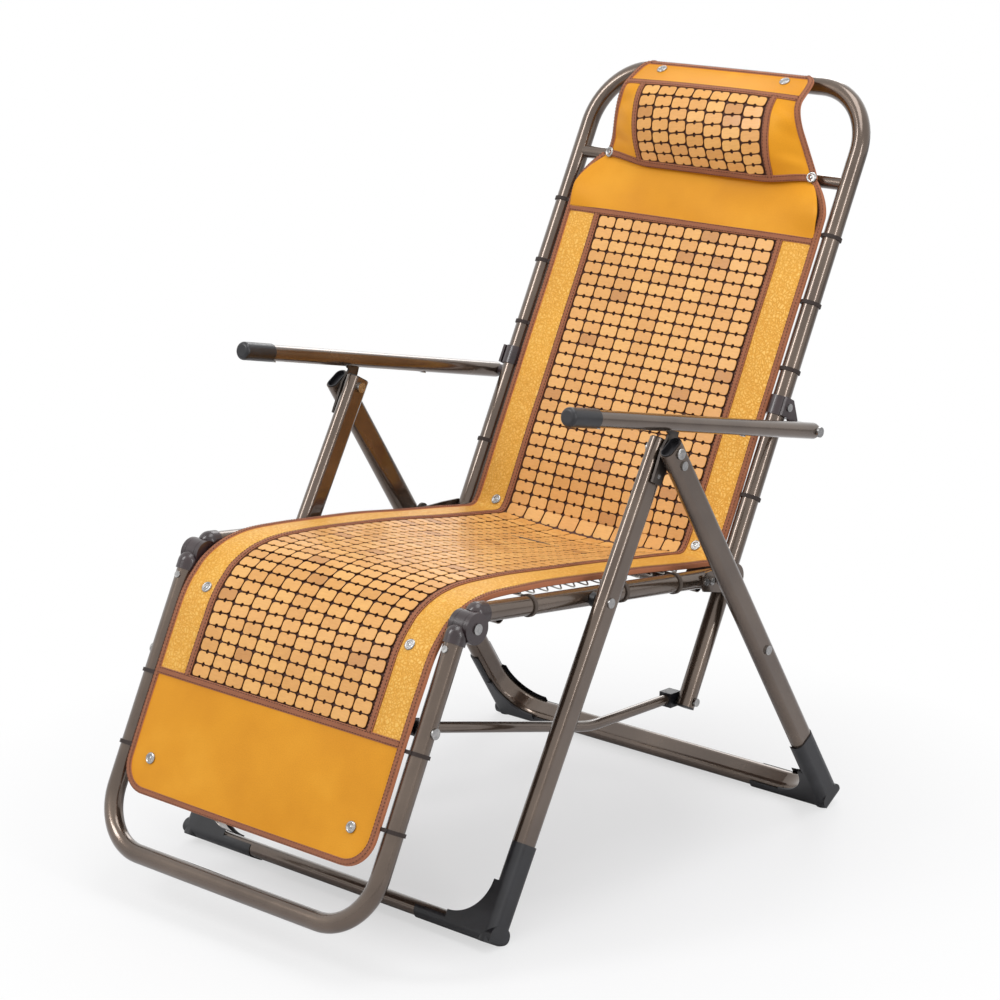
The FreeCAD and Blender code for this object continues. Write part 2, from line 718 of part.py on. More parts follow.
rod_front_angle = -15.2
rod_rear_angle = 180.0 - 1.4
rod_a = along(rod_front, rod_front_angle, rod_in)
rod_b = along(rod_rear, rod_rear_angle, rod_in)
flat = [V(rod_a[0], rod_a[1], 0), V(rod_bend_at[0], rod_bend_at[1], 0), V(rod_b[0], rod_b[1], 0)]
rod = stand_up(bent_tube(flat, 160.0, 2 * rod_r, 2 * rod_r, 1.2), x_rod)
made["recline_rod_left"] = [rod]
made["recline_rod_right"] = [other_side(rod)]


def end_block(pivot, toward):
    a = along(pivot, toward, 0.0, block_half)
    b = along(pivot, toward, 0.0, -block_half)
    c = along(pivot, toward, block_long, -block_half)
    d = along(pivot, toward, block_long, block_half)
    body = joined([plate([a, b, c, d], block_x1, block_x2), cyl(block_half, block_x1, block_x2, pivot)])
    p = along(pivot, toward, rod_in)
    q = along(pivot, toward, 60.0)
    run = V(0, q[0] - p[0], q[1] - p[1])
    return body.cut(Part.makeCylinder(rod_r, 38.0, V(x_rod, p[0], p[1]), run))


def angle_between(p, q):
    return math.degrees(math.atan2(q[1] - p[1], q[0] - p[0]))


front_block = end_block(rod_front, rod_front_angle)
rear_block = end_block(rod_rear, rod_rear_angle)
rear_block = rear_block.cut(cyl(turn_r, block_x1 - 1, block_x2 + 1, rod_rear))
made["rod_front_blocks"] = pair(front_block)
made["rod_rear_blocks"] = pair(rear_block)
rod_rear_bolt = joined([
    cyl(bolt_r, block_x1 - 0.4, rail_outer + 0.8, rod_rear),
    cyl(5.6, rail_outer + 0.8, rail_outer + 3.6, rod_rear),
    cyl(6.0, block_x1 - 3.4, block_x1 - 0.4, rod_rear),
])
made["rod_rear_bolts"] = pair(rod_rear_bolt)
rod_front_bolt = joined([
    cyl(bolt_r, block_x2 + 0.6, rail_outer, rod_front),
    cyl(7.0, rail_outer, rail_outer + 2.8, rod_front),
])
made["rod_front_bolts"] = pair(rod_front_bolt)


# Fold links between the rail ends and the rear legs
link_x1 = 280.2
link_x2 = 284.2
link_angle = angle_between(link_bolt, link_top)
link_length = math.hypot(link_top[0] - link_bolt[0], link_top[1] - link_bolt[1])
link_half = 10.0
link_bar = plate([
    along(link_bolt, link_angle, 0.0, link_half),
    along(link_bolt, link_angle, link_length, link_half),
    along(link_bolt, link_angle, link_length, -link_half),
    along(link_bolt, link_angle, 0.0, -link_half),
], link_x1, link_x2)
link = joined([
    link_bar,
    cyl(link_half, link_x1, link_x2, link_bolt),
    cyl(link_half, link_x1, link_x2, link_top),
])
link = link.cut(cyl(turn_r, link_x1 - 1, link_x2 + 1, link_bolt))
link = link.cut(cyl(bolt_r, link_x1 - 1, link_x2 + 1, link_top))
made["fold_link_left"] = [link]
made["fold_link_right"] = [other_side(link)]
link_pin = joined([
    cyl(bolt_r, plate_out + plate_thick + 2.6, link_x2, link_top),
    cyl(6.5, link_x1 - 8.0, link_x1, link_top),
])
made["link_pins"] = pair(link_pin)
link_bolt_body = joined([
    cyl(bolt_r, link_x1 - 0.4, rear_outer, link_bolt),
    cyl(6.5, rear_outer, rear_outer + 2.6, link_bolt),
    cyl(6.5, link_x1 - 3.6, link_x1 - 0.4, link_bolt),
])
made["link_bolts"] = pair(link_bolt_body)


# Mat in three lengths and the head pillow, as closed soft solids
def mat_piece(outline, low, thick):
    corners = [V(x, s, low) for x, s in outline]
    return Part.Face(Part.makePolygon(corners + [corners[0]])).extrude(V(0, 0, thick))


def both(points):
    return points + [(-x, s) for x, s in reversed(points)]


back_outline = [
    (mat_half, hinge_clear),
    (mat_half, back_mat_end - back_mat_corner),
    (mat_half - back_mat_neck, back_mat_end),
]
back_mat = mat_piece(both(back_outline), mat_low, mat_thick)
made["back_mat"] = [tilted(back_mat, back_pivot, back_angle)]

seat_length = rail_run + rail_gap_back + socket_depth
seat_mat_low = mat_low + 3.0
seat_outline = [(mat_half, seat_mat_start), (mat_half, seat_length - hinge_clear)]
seat_mat = mat_piece(both(seat_outline), seat_mat_low, mat_thick)
made["seat_mat"] = [tilted(seat_mat, rail_foot, rail_angle)]

rest_mat_end = 318.0
corner = 42.0
steps = 6
outline = [(mat_half, 14.0), (mat_half, rest_mat_end - corner)]
for i in range(1, steps):
    a = math.pi / 2 * i / steps
    outline.append((mat_half - corner + corner * math.cos(a), rest_mat_end - corner + corner * math.sin(a)))
outline.append((mat_half - corner, rest_mat_end))
rest_mat = mat_piece(both(outline), -rest_mat_low - rest_mat_thick, rest_mat_thick)
made["leg_rest_mat"] = [tilted(rest_mat, rest_foot, rest_angle)]

# The head pillow rises steeply from the mat, is crowned in the middle, and wraps down over the top tube.
# Each station gives the way up the back, the half width, and the heights at the sides and in the middle.
pillow_low = 13.0
pillow_stations = [
    (552.3, 187.0, 15.0, 16.0),
    (561.0, 182.0, 16.5, 24.0),
    (569.0, 178.0, 18.5, 42.0),
    (581.0, 174.0, 23.0, 55.5),
    (597.0, 170.0, 31.0, 62.5),
    (616.0, 164.0, 40.0, 64.5),
    (635.0, 159.0, 47.0, 65.0),
    (649.0, 157.0, 47.5, 60.0),
    (660.0, 156.0, 43.0, 50.0),
    (673.0, 155.5, 35.0, 39.0),
    (686.0, 155.0, 28.5, 30.0),
    (696.0, 153.5, 23.5, 24.5),
    (703.5, 151.0, 18.0, 18.5),
]


def pillow_section(s, half, side, middle):
    shoulder = side + 0.72 * (middle - side)
    top = [
        V(half, s, side),
        V(0.66 * half, s, shoulder),
        V(0, s, middle),
        V(-0.66 * half, s, shoulder),
        V(-half, s, side),
    ]
    spline = Part.BSplineCurve()
    spline.interpolate(top)
    low = [V(-half, s, pillow_low), V(half, s, pillow_low)]
    rest = Part.makePolygon([top[-1]] + low + [top[0]])
    return Part.Wire([spline.toShape()] + rest.Edges)


pillow = Part.makeLoft([pillow_section(*row) for row in pillow_stations], True, False)
made["head_pillow"] = [tilted(pillow, back_pivot, back_angle)]


# Straps under the mat, looped round the tubes on both sides
strap_wide = 5.0
strap_thick = 2.0
strap_gap = 0.3
loop_in = tube_r + strap_gap
loop_out = tube_r + strap_gap + 1.7


def strap(distance, low):
    ribbon = Part.makeBox(2 * x_seat, strap_wide, strap_thick, V(-x_seat, distance - strap_wide / 2, low))
    loop = Part.makeCylinder(loop_out, strap_wide, V(x_seat, distance - strap_wide / 2, 0), V(0, 1, 0))
    hole = Part.makeCylinder(loop_in, strap_wide, V(x_seat, distance - strap_wide / 2, 0), V(0, 1, 0))
    body = joined([ribbon, loop, other_side(loop)])
    return body.cut(hole).cut(other_side(hole)).Solids[0]


back_straps = []
for distance in (110.0, 290.0, 385.0, 480.0):
    one = strap(distance, mat_low - strap_gap - strap_thick)
    back_straps.append(tilted(one, back_pivot, back_angle))
made["back_straps"] = back_straps
seat_straps = []
for distance in (110.0, 290.0, 400.0):
    one = strap(distance, seat_mat_low - strap_gap - strap_thick)
    seat_straps.append(tilted(one, rail_foot, rail_angle))
made["seat_straps"] = seat_straps
rest_straps = []
for distance in (165.0, 262.0):
    one = strap(distance, -rest_mat_low + strap_gap)
    rest_straps.append(tilted(one, rest_foot, rest_angle))
made["leg_rest_straps"] = rest_straps


# A piece that is let into its neighbour leaves its own shape in it
def let_in(holder, guests):
    kept = []
    for solid in made[holder]:
        for name in guests:
            for guest in made[name]:
                if solid.BoundBox.intersect(guest.BoundBox):
                    solid = solid.cut(guest)
        kept.append(sorted(solid.Solids, key=lambda s: -s.Volume)[0])
    made[holder] = kept


let_in("seat_knuckle_left", ["seat_cross_tubes"])
let_in("seat_knuckle_right", ["seat_cross_tubes"])
let_in("seat_cross_tubes", ["hinge_plates_left", "hinge_plates_right", "hinge_plate_rivets"])
let_in("leg_rest_frame", ["leg_rest_rivets"])
let_in("leg_rest_knuckle_left", ["leg_rest_rivets"])
let_in("leg_rest_knuckle_right", ["leg_rest_rivets"])
let_in("rod_front_blocks", ["recline_rod_left", "recline_rod_right"])
let_in("rod_rear_blocks", ["recline_rod_left", "recline_rod_right"])


# Centre the whole chair on its footprint and write every piece
everything = [solid for solids in made.values() for solid in solids]
boxes = [solid.optimalBoundingBox(False, False) for solid in everything]
y_low = min(b.YMin for b in boxes)
y_high = max(b.YMax for b in boxes)
y_middle = (y_low + y_high) / 2

if __name__ == "__main__":
    os.makedirs("parts", exist_ok=True)
    for name in made:
        shape = Part.makeCompound(made[name]) if len(made[name]) > 1 else made[name][0]
        shape = shape.copy()
        shape.translate(V(0, -y_middle, 0))
        shape.exportStep("parts/" + name + ".step")
    print("pieces", len(everything), "nodes", len(made), "y middle", round(y_middle, 3))
    print("y", round(y_low, 2), round(y_high, 2))
    print("z", round(min(b.ZMin for b in boxes), 3), round(max(b.ZMax for b in boxes), 2))
    print("x", round(min(b.XMin for b in boxes), 2), round(max(b.XMax for b in boxes), 2))
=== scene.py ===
import bisect
import math
import random

import bpy
from mathutils import Matrix, Vector


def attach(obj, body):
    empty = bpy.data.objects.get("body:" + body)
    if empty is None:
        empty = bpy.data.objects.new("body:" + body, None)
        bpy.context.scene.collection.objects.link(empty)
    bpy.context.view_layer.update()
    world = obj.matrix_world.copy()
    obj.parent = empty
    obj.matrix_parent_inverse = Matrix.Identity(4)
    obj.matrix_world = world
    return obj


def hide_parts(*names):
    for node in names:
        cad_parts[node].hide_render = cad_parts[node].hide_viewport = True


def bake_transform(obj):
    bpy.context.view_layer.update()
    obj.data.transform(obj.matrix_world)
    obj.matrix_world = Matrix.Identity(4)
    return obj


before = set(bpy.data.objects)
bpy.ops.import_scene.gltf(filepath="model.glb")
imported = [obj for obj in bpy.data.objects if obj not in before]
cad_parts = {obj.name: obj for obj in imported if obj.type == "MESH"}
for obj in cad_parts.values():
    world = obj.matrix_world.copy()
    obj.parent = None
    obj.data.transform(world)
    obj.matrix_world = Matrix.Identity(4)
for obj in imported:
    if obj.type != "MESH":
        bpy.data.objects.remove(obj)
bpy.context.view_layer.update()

# The sketch plane of the side view is in millimetres, with y = 0 under the front feet
MM = 0.001
Y_MIDDLE = 310.713

# Lines that the mat follows: a foot point and an angle for the leg rest, the seat and the back
LEG_FOOT = (-23.39, 418.26)
LEG_ANGLE = math.radians(243.2)
SEAT_FOOT = (-8.07, 426.38)
SEAT_ANGLE = math.radians(-7.39)
BACK_FOOT = (502.0, 359.5)
BACK_ANGLE = math.radians(62.48)

# Mat
MAT_HALF = 221.0
BINDING_WIDE = 8.5
FIELD_COLUMNS = 10
TILE_X = 31.0
TILE_V = 17.4
FIELD_HALF = FIELD_COLUMNS * TILE_X / 2
INNER_BINDING = 9.5
INNER_X = FIELD_HALF + INNER_BINDING / 2 + 2.0
STRIP_IN = INNER_X + 2.0
STRIP_OUT = MAT_HALF - BINDING_WIDE + 1.5
STRIP_COLUMNS = 8
STRIP_PAST = 4.0
BINDING_PAST = 3.0
TILE_TALL = 2.7
BACKING_LOW = -4.2
BACKING_TOP = -0.4
LEATHER_LOW = -0.5
LEATHER_TOP = 1.5
CORNER = 42.0
HEM_INSET = 2.5
LEATHER_TUCK = 2.0

# Places along the leg rest (T) and up the seat and the back (S)
MAT_START_T = 318.0
FIELD_START_T = 154.5
SEAT_SPLIT_S = 240.0
FIELD_END_S = 460.8
NARROW_S = 503.0
NARROW_HALF = 188.0
NARROW_EASE = 0.35
MAT_END_S = 552.0

# How the mat lies: crown over the knee, dish at the rear of the seat, shift to the side
CROWN = 3.0
CROWN_REACH = 70.0
DISH = 11.0
DISH_HALF = 165.0
DISH_FROM = 120.0
DISH_FULL = 30.0
DISH_BACK = 8.0
DISH_TO = 90.0
SHIFT_LEAST = 1.2
SHIFT_MORE = 4.8

# Tiles: gaps between neighbours, corner radius and notch
TILE_GAP_X = 2.0
TILE_GAP_SEAT = 1.9
TILE_GAP_MAT = 1.4
TILE_GAP_PILLOW = 1.2
TILE_CORNER = 4.3
TILE_NOTCH = 2.7
TILE_STEP = 4.0

# Distance between the points that a surface's normal is taken from
NEAR = 2.0

# Heights of the bindings above the surface that they lie on, and how far apart their points are
OUTER_HIGH = 2.6
INNER_HIGH = 3.4
STITCH_INSET = 1.7
EDGE_STEP = 5.0
ACROSS_STEP = 8.0


def put(x, y, z):
    """From the sketch plane's millimetres to the frame's metres."""
    return Vector((x * MM, (y - Y_MIDDLE) * MM, z * MM))


def along(foot, angle, distance, off):
    """A point of the side view, so far along a line and so far off it."""
    c, s = math.cos(angle), math.sin(angle)
    return (foot[0] + distance * c - off * s, foot[1] + distance * s + off * c)


def leg_at(t, off):
    return along(LEG_FOOT, LEG_ANGLE, t, -off)


def seat_at(s, off):
    return along(SEAT_FOOT, SEAT_ANGLE, s, off)


def back_at(s, off):
    return along(BACK_FOOT, BACK_ANGLE, s, off)


def smooth(value, low, high):
    t = min(max((value - low) / (high - low), 0.0), 1.0)
    return t * t * (3 - 2 * t)


class Path:
    """A smooth line through points of the side view, read by the length along it."""

    def __init__(self, knots, step=1.5):
        self.points = []
        ends = [knots[0]] + list(knots) + [knots[-1]]
        for i in range(1, len(ends) - 2):
            p0, p1, p2, p3 = ends[i - 1:i + 3]
            count = max(2, int(math.dist(p1, p2) / step))
            for k in range(count):
                self.points.append(self.cubic(p0, p1, p2, p3, k / count))
        self.points.append(knots[-1])
        self.lengths = [0.0]
        for a, b in zip(self.points, self.points[1:]):
            self.lengths.append(self.lengths[-1] + math.dist(a, b))
        self.total = self.lengths[-1]

    @staticmethod
    def cubic(p0, p1, p2, p3, t):
        d = max(math.dist(p1, p2), 1e-6)
        d0 = max(math.dist(p0, p1), 1e-6)
        d2 = max(math.dist(p2, p3), 1e-6)
        out = []
        for a in range(2):
            m1 = ((p2[a] - p1[a]) / d + (p1[a] - p0[a]) / d0) / 2 * d if d0 > 1e-5 else p2[a] - p1[a]
            m2 = ((p3[a] - p2[a]) / d2 + (p2[a] - p1[a]) / d) / 2 * d if d2 > 1e-5 else p2[a] - p1[a]
            h = t * t * (3 - 2 * t)
            out.append((1 - h) * p1[a] + h * p2[a] + t * (1 - t) * ((1 - t) * m1 - t * m2))
        return tuple(out)

    def index(self, v):
        return min(max(bisect.bisect_right(self.lengths, v) - 1, 0), len(self.lengths) - 2)

    def at(self, v):
        i = self.index(v)
        t = (v - self.lengths[i]) / (self.lengths[i + 1] - self.lengths[i])
        a, b = self.points[i], self.points[i + 1]
        return (a[0] + t * (b[0] - a[0]), a[1] + t * (b[1] - a[1]))

    def tangent(self, v, reach=4.0):
        a = self.at(max(v - reach, 0.0))
        b = self.at(min(v + reach, self.total))
        d = math.dist(a, b)
        return ((b[0] - a[0]) / d, (b[1] - a[1]) / d)

    def nearest(self, p):
        best = min(range(len(self.points)), key=lambda i: math.dist(self.points[i], p))
        return self.lengths[best]


mat_line = Path([
    leg_at(MAT_START_T, 17.5), leg_at(262, 18.2), leg_at(200, 18.5), leg_at(150, 18.6),
    leg_at(112, 18.4), leg_at(85, 17.6), leg_at(60, 14.6), leg_at(40, 9.6), leg_at(25, 4.6), leg_at(5, -3.2),
    seat_at(18, 3.4), seat_at(48, 12.8), seat_at(75, 17.4), seat_at(110, 20.2), seat_at(150, 21.6),
    seat_at(200, 22.0), seat_at(260, 21.5), seat_at(330, 20.0), seat_at(400, 18.5), seat_at(440, 17.6),
    seat_at(472, 17.0), (493.5, 380.5), (502.0, 389.0), back_at(43, 12.8), back_at(72, 12.6),
    back_at(150, 13.0), back_at(300, 14.0), back_at(400, 15.0), back_at(460, 15.6), back_at(505, 16.4),
    back_at(MAT_END_S, 15.4),
])
V_FIELD_START = mat_line.nearest(leg_at(FIELD_START_T, 18.6))
V_FIELD_END = mat_line.nearest(back_at(FIELD_END_S, 15.6))
V_KNEE = mat_line.nearest(seat_at(2, 0))
V_SEAT = mat_line.nearest(seat_at(SEAT_SPLIT_S, 21.7))
V_HIP = mat_line.nearest((496.5, 383.0))
V_NARROW = mat_line.nearest(back_at(NARROW_S, 16.4))
V_END = mat_line.total


def half_width(v):
    if v < CORNER:
        return MAT_HALF - CORNER + math.sqrt(max(CORNER ** 2 - (CORNER - v) ** 2, 0.0))
    if v > V_NARROW:
        t = (v - V_NARROW) / (V_END - V_NARROW)
        return MAT_HALF + (NARROW_HALF - MAT_HALF) * (NARROW_EASE * t + (1 - NARROW_EASE) * t * t)
    return MAT_HALF


def bump(x, v):
    """Height added to the mat's line: crowned over the knee, dished at the rear of the seat, soft waves."""
    across = min(abs(x) / DISH_HALF, 1.0)
    middle = 1 - across * across
    knee = CROWN * math.exp(-((v - V_KNEE) / CROWN_REACH) ** 2) * middle
    sinks = smooth(v, V_KNEE + DISH_FROM, V_HIP - DISH_FULL)
    rises = smooth(v, V_HIP - DISH_BACK, V_HIP + DISH_TO)
    rear = -DISH * sinks * (1 - rises) * middle
    wave = 0.5 * math.sin(v / 61.0 + x / 83.0) + 0.35 * math.sin(v / 27.0 - x / 47.0)
    return knee + rear + wave


def lies_over(v):
    """The mat lies a little toward the sitter's left, least where it passes between the knee hinges."""
    return SHIFT_LEAST + SHIFT_MORE * smooth(abs(v - V_KNEE), 45, 110)


def mat_point(x, v, h):
    y, z = mat_line.at(v)
    ty, tz = mat_line.tangent(v)
    lift = h + bump(x, v)
    return put(x + lies_over(v), y - tz * lift, z + ty * lift)


def mat_normal(x, v):
    a = mat_point(x + NEAR, v, 0) - mat_point(x - NEAR, v, 0)
    b = mat_point(x, v + NEAR, 0) - mat_point(x, v - NEAR, 0)
    return a.cross(b).normalized()


def on_mat(x, v):
    """A point of the mat's surface and its normal."""
    return mat_point(x, v, 0), mat_normal(x, v)


# Head pillow: stations up the back with the half width and the heights at the sides and in the middle
PILLOW_STATIONS = [
    (552.0, 186.0, 17.0, 24.0),
    (560.0, 182.5, 18.0, 33.0),
    (570.0, 178.5, 20.0, 44.5),
    (582.0, 174.5, 24.0, 55.0),
    (597.0, 170.0, 31.0, 62.0),
    (616.0, 164.0, 40.0, 65.0),
    (635.0, 159.0, 46.0, 64.5),
    (649.0, 156.5, 46.5, 59.5),
    (661.0, 155.5, 41.5, 49.5),
    (673.0, 154.5, 35.0, 39.5),
    (683.0, 152.5, 29.5, 32.0),
    (690.0, 150.5, 25.5, 27.0),
    (695.0, 148.0, 21.5, 22.0),
]
PILLOW_SAG = 10.0
PILLOW_CORNER = 16.0
PILLOW_FALL = 3.06
PILLOW_FLOOR = 12.9
PILLOW_STEP = 4.0
OVER_FOOT = 12.0
OVER_FALL = 13.0
OVER_REACH = 110.0
W_FIELD_START = 8.5
W_HEM_BINDING = 3.0
pillow_middle = Path([(s, middle) for s, half, side, middle in PILLOW_STATIONS])
station_w = [pillow_middle.nearest((s, middle)) for s, half, side, middle in PILLOW_STATIONS]
W_TOP_BINDING = pillow_middle.nearest((654.0, 56.0))
W_HEM = pillow_middle.total
PILLOW_COLUMNS = 7
PILLOW_ROWS = 7
PILLOW_FIELD_HALF = PILLOW_COLUMNS * TILE_X / 2


def station_value(w, which):
    i = min(max(bisect.bisect_right(station_w, w) - 1, 0), len(station_w) - 2)
    t = (w - station_w[i]) / (station_w[i + 1] - station_w[i])
    t = min(max(t, 0.0), 1.0)
    before = PILLOW_STATIONS[max(i - 1, 0)][which]
    a = PILLOW_STATIONS[i][which]
    b = PILLOW_STATIONS[i + 1][which]
    after = PILLOW_STATIONS[min(i + 2, len(PILLOW_STATIONS) - 1)][which]
    m1 = (b - before) / 2
    m2 = (after - a) / 2
    h = t * t * (3 - 2 * t)
    return (1 - h) * a + h * b + t * (1 - t) * ((1 - t) * m1 - t * m2)


def pillow_half(w):
    half = station_value(w, 1)
    left = W_HEM - w
    if left < PILLOW_CORNER:
        half -= PILLOW_CORNER - math.sqrt(max(PILLOW_CORNER ** 2 - (PILLOW_CORNER - left) ** 2, 0.0))
    return half


def pillow_spot(x, w):
    """Place up the back and height over it: full in the middle, creased at the flanks, sagging at the hem."""
    s, middle = pillow_middle.at(w)
    side = station_value(w, 2)
    share = min(abs(x) / station_value(w, 1), 1.05)
    fullness = 1 - share ** PILLOW_FALL
    half = pillow_half(w)
    edge = smooth(abs(x), PILLOW_FIELD_HALF + 6, half - 24) * (1 - smooth(abs(x), half - 18, half - 3))
    flank = smooth(w, 10, 40) * (1 - smooth(w, W_TOP_BINDING - 25, W_TOP_BINDING + 20))
    waves = 1.6 * math.sin(w / 9.0 + 1.3 * math.sin(x / 30.0)) + 1.0 * math.sin(w / 4.7 + x / 17.0)
    crease = flank * edge * waves
    sag = PILLOW_SAG * (1 - smooth(abs(x), 95.0, 178.0)) * (1 - smooth(w, 20.0, 150.0))
    return s - sag, side + (middle - side) * fullness + crease


def pillow_over(w):
    """The pillow's foot lies a little toward the sitter's left."""
    return OVER_FOOT - OVER_FALL * smooth(w, 0.0, OVER_REACH)


def pillow_point(x, w, h):
    s, t = pillow_spot(x, w)
    if h:
        s0, t0 = pillow_spot(x, max(w - 3, 0.0))
        s1, t1 = pillow_spot(x, min(w + 3, W_HEM))
        d = math.hypot(s1 - s0, t1 - t0)
        s, t = s - h * (t1 - t0) / d, t + h * (s1 - s0) / d
    y, z = back_at(s, t)
    return put(x + pillow_over(w), y, z)


def pillow_normal(x, w):
    w = min(max(w, NEAR), W_HEM - NEAR)
    a = pillow_point(x + NEAR, w, 0) - pillow_point(x - NEAR, w, 0)
    b = pillow_point(x, w + NEAR, 0) - pillow_point(x, w - NEAR, 0)
    return a.cross(b).normalized()


def on_pillow(x, w):
    """A point of the pillow's surface and its normal."""
    return pillow_point(x, w, 0), pillow_normal(x, w)


# Mesh helpers
class Build:
    """Collects vertices, faces, a flat map and a tone for one mesh."""

    def __init__(self):
        self.verts = []
        self.faces = []
        self.flat = []
        self.tone = []

    def add(self, verts, faces, flat, tone=0.5):
        start = len(self.verts)
        self.verts += verts
        self.flat += flat
        self.tone += tone if isinstance(tone, list) else [tone] * len(verts)
        self.faces += [tuple(start + i for i in f) for f in faces]

    def make(self, name, material, sharp=40.0):
        mesh = bpy.data.meshes.new(name)
        mesh.from_pydata([tuple(v) for v in self.verts], [], self.faces)
        layer = mesh.uv_layers.new(name="flat")
        for loop in mesh.loops:
            layer.data[loop.index].uv = self.flat[loop.vertex_index]
        tone = mesh.attributes.new("tone", "FLOAT", "POINT")
        tone.data.foreach_set("value", self.tone)
        mesh.materials.append(material)
        mesh.shade_smooth()
        mesh.set_sharp_from_angle(angle=math.radians(sharp))
        piece = bpy.data.objects.new(name, mesh)
        bpy.context.scene.collection.objects.link(piece)
        return piece


def steps(a, b, size):
    count = max(1, round(abs(b - a) / size))
    return [a + (b - a) * i / count for i in range(count + 1)]


def close_up(build, wide, top, under, flat):
    """A closed skin from two grids of points with the same rows, one over the other."""
    tall = len(top) // wide
    n = len(top)
    faces = []
    for r in range(tall - 1):
        for i in range(wide - 1):
            a = r * wide + i
            faces.append((a, a + 1, a + wide + 1, a + wide))
            faces.append((n + a, n + a + wide, n + a + wide + 1, n + a + 1))
        a = r * wide
        b = a + wide - 1
        faces.append((a, a + wide, n + a + wide, n + a))
        faces.append((b + wide, b, n + b, n + b + wide))
    for i in range(wide - 1):
        c = (tall - 1) * wide + i
        faces.append((i + 1, i, n + i, n + i + 1))
        faces.append((c, c + 1, n + c + 1, n + c))
    build.add(top + under, faces, flat + flat)


def slab(build, rows, low, high, crown=0.0, round_off=0.7):
    """A closed sheet from rows of (point function, place along it, x values)."""
    wide = len(rows[0][2])
    top, under, flat = [], [], []
    for point, v, xs in rows:
        for i, x in enumerate(xs):
            share = i / (wide - 1)
            puff = crown * (1 - (2 * share - 1) ** 2)
            rim = round_off if i in (0, wide - 1) else 0.0
            top.append(point(x, v, high + puff - rim))
            under.append(point(x, v, low))
            flat.append((x * MM, v * MM))
    close_up(build, wide, top, under, flat)


def spread(half, count):
    """An odd number of places from one side to the other, evenly spaced."""
    return [half * k / count for k in range(-count, count + 1)]


def sweep(build, spots, profile, flat_v):
    """A strip with a closed profile swept along spots of (point, normal); profile gives side and height."""
    points = [p for p, n in spots]
    count = len(profile)
    verts, flat = [], []
    for i, (p, n) in enumerate(spots):
        a = points[max(i - 1, 0)]
        b = points[min(i + 1, len(points) - 1)]
        way = (b - a).normalized()
        side = way.cross(n).normalized()
        up = side.cross(way)
        for j, (s, h) in enumerate(profile):
            verts.append(p + side * (s * MM) + up * (h * MM))
            flat.append((s * MM, flat_v[i] * MM))
    faces = []
    for i in range(len(spots) - 1):
        for j in range(count):
            k = (j + 1) % count
            faces.append((i * count + j, i * count + k, (i + 1) * count + k, (i + 1) * count + j))
    faces.append(tuple(reversed(range(count))))
    last = (len(spots) - 1) * count
    faces.append(tuple(last + j for j in range(count)))
    build.add(verts, faces, flat)


def lengths_of(points):
    out = [0.0]
    for a, b in zip(points, points[1:]):
        out.append(out[-1] + (b - a).length / MM)
    return out


def strip_profile(wide, low, high):
    half = wide / 2
    lip = 0.9
    return [
        (-half, low + lip), (-half, high - lip), (-half + lip, high - 0.1), (-half * 0.5, high + 0.25),
        (0, high), (half * 0.5, high + 0.25), (half - lip, high - 0.1), (half, high - lip), (half, low + lip),
        (half - lip, low), (-half + lip, low),
    ]


STITCH_EVERY = 4.6
STITCH_LONG = 3.0
STITCH_WIDE = 0.9


def stitches(build, spots, side_at, height):
    """Short raised threads along a strip, side_at from its middle."""
    points = [p for p, n in spots]
    run = lengths_of(points)
    place = STITCH_EVERY / 2
    while place < run[-1]:
        i = min(bisect.bisect_right(run, place) - 1, len(points) - 2)
        t = (place - run[i]) / (run[i + 1] - run[i])
        p = points[i].lerp(points[i + 1], t)
        n = spots[i][1]
        way = (points[i + 1] - points[i]).normalized()
        side = way.cross(n).normalized()
        up = side.cross(way)
        centre = p + side * (side_at * MM) + up * (height * MM)
        half = STITCH_LONG / 2
        w = STITCH_WIDE / 2
        ring = []
        ends = [(-half, 0.35, -0.35), (-half * 0.6, 1.0, 0.25), (half * 0.6, 1.0, 0.25), (half, 0.35, -0.35)]
        for a, full, rise in ends:
            for b, c in ((-w, -0.5), (-w * 0.7, 0.35), (w * 0.7, 0.35), (w, -0.5)):
                ring.append(centre + way * (a * MM) + side * (b * full * MM) + up * ((c * full + rise) * MM))
        faces = [(3, 2, 1, 0), (12, 13, 14, 15)]
        for k in range(3):
            for j in range(4):
                m = (j + 1) % 4
                faces.append((k * 4 + j, k * 4 + m, k * 4 + 4 + m, k * 4 + 4 + j))
        build.add(ring, faces, [(0.0, 0.0)] * 16)
        place += STITCH_EVERY


def tile_points(half_x, half_y):
    """A tile with round corners and a small notch in the middle of its long sides."""
    top = []
    for a in (0, 30, 60, 90):
        c, q = math.cos(math.radians(a)), math.sin(math.radians(a))
        top.append((half_x - TILE_CORNER + TILE_CORNER * c, half_y - TILE_CORNER + TILE_CORNER * q))
    for a in (0, 50, 90):
        c, q = math.cos(math.radians(a)), math.sin(math.radians(a))
        top.append((TILE_NOTCH * c, half_y - TILE_NOTCH * 0.8 * q))
    top += [(-x, y) for x, y in reversed(top)][1:]
    return top + [(-x, -y) for x, y in top]


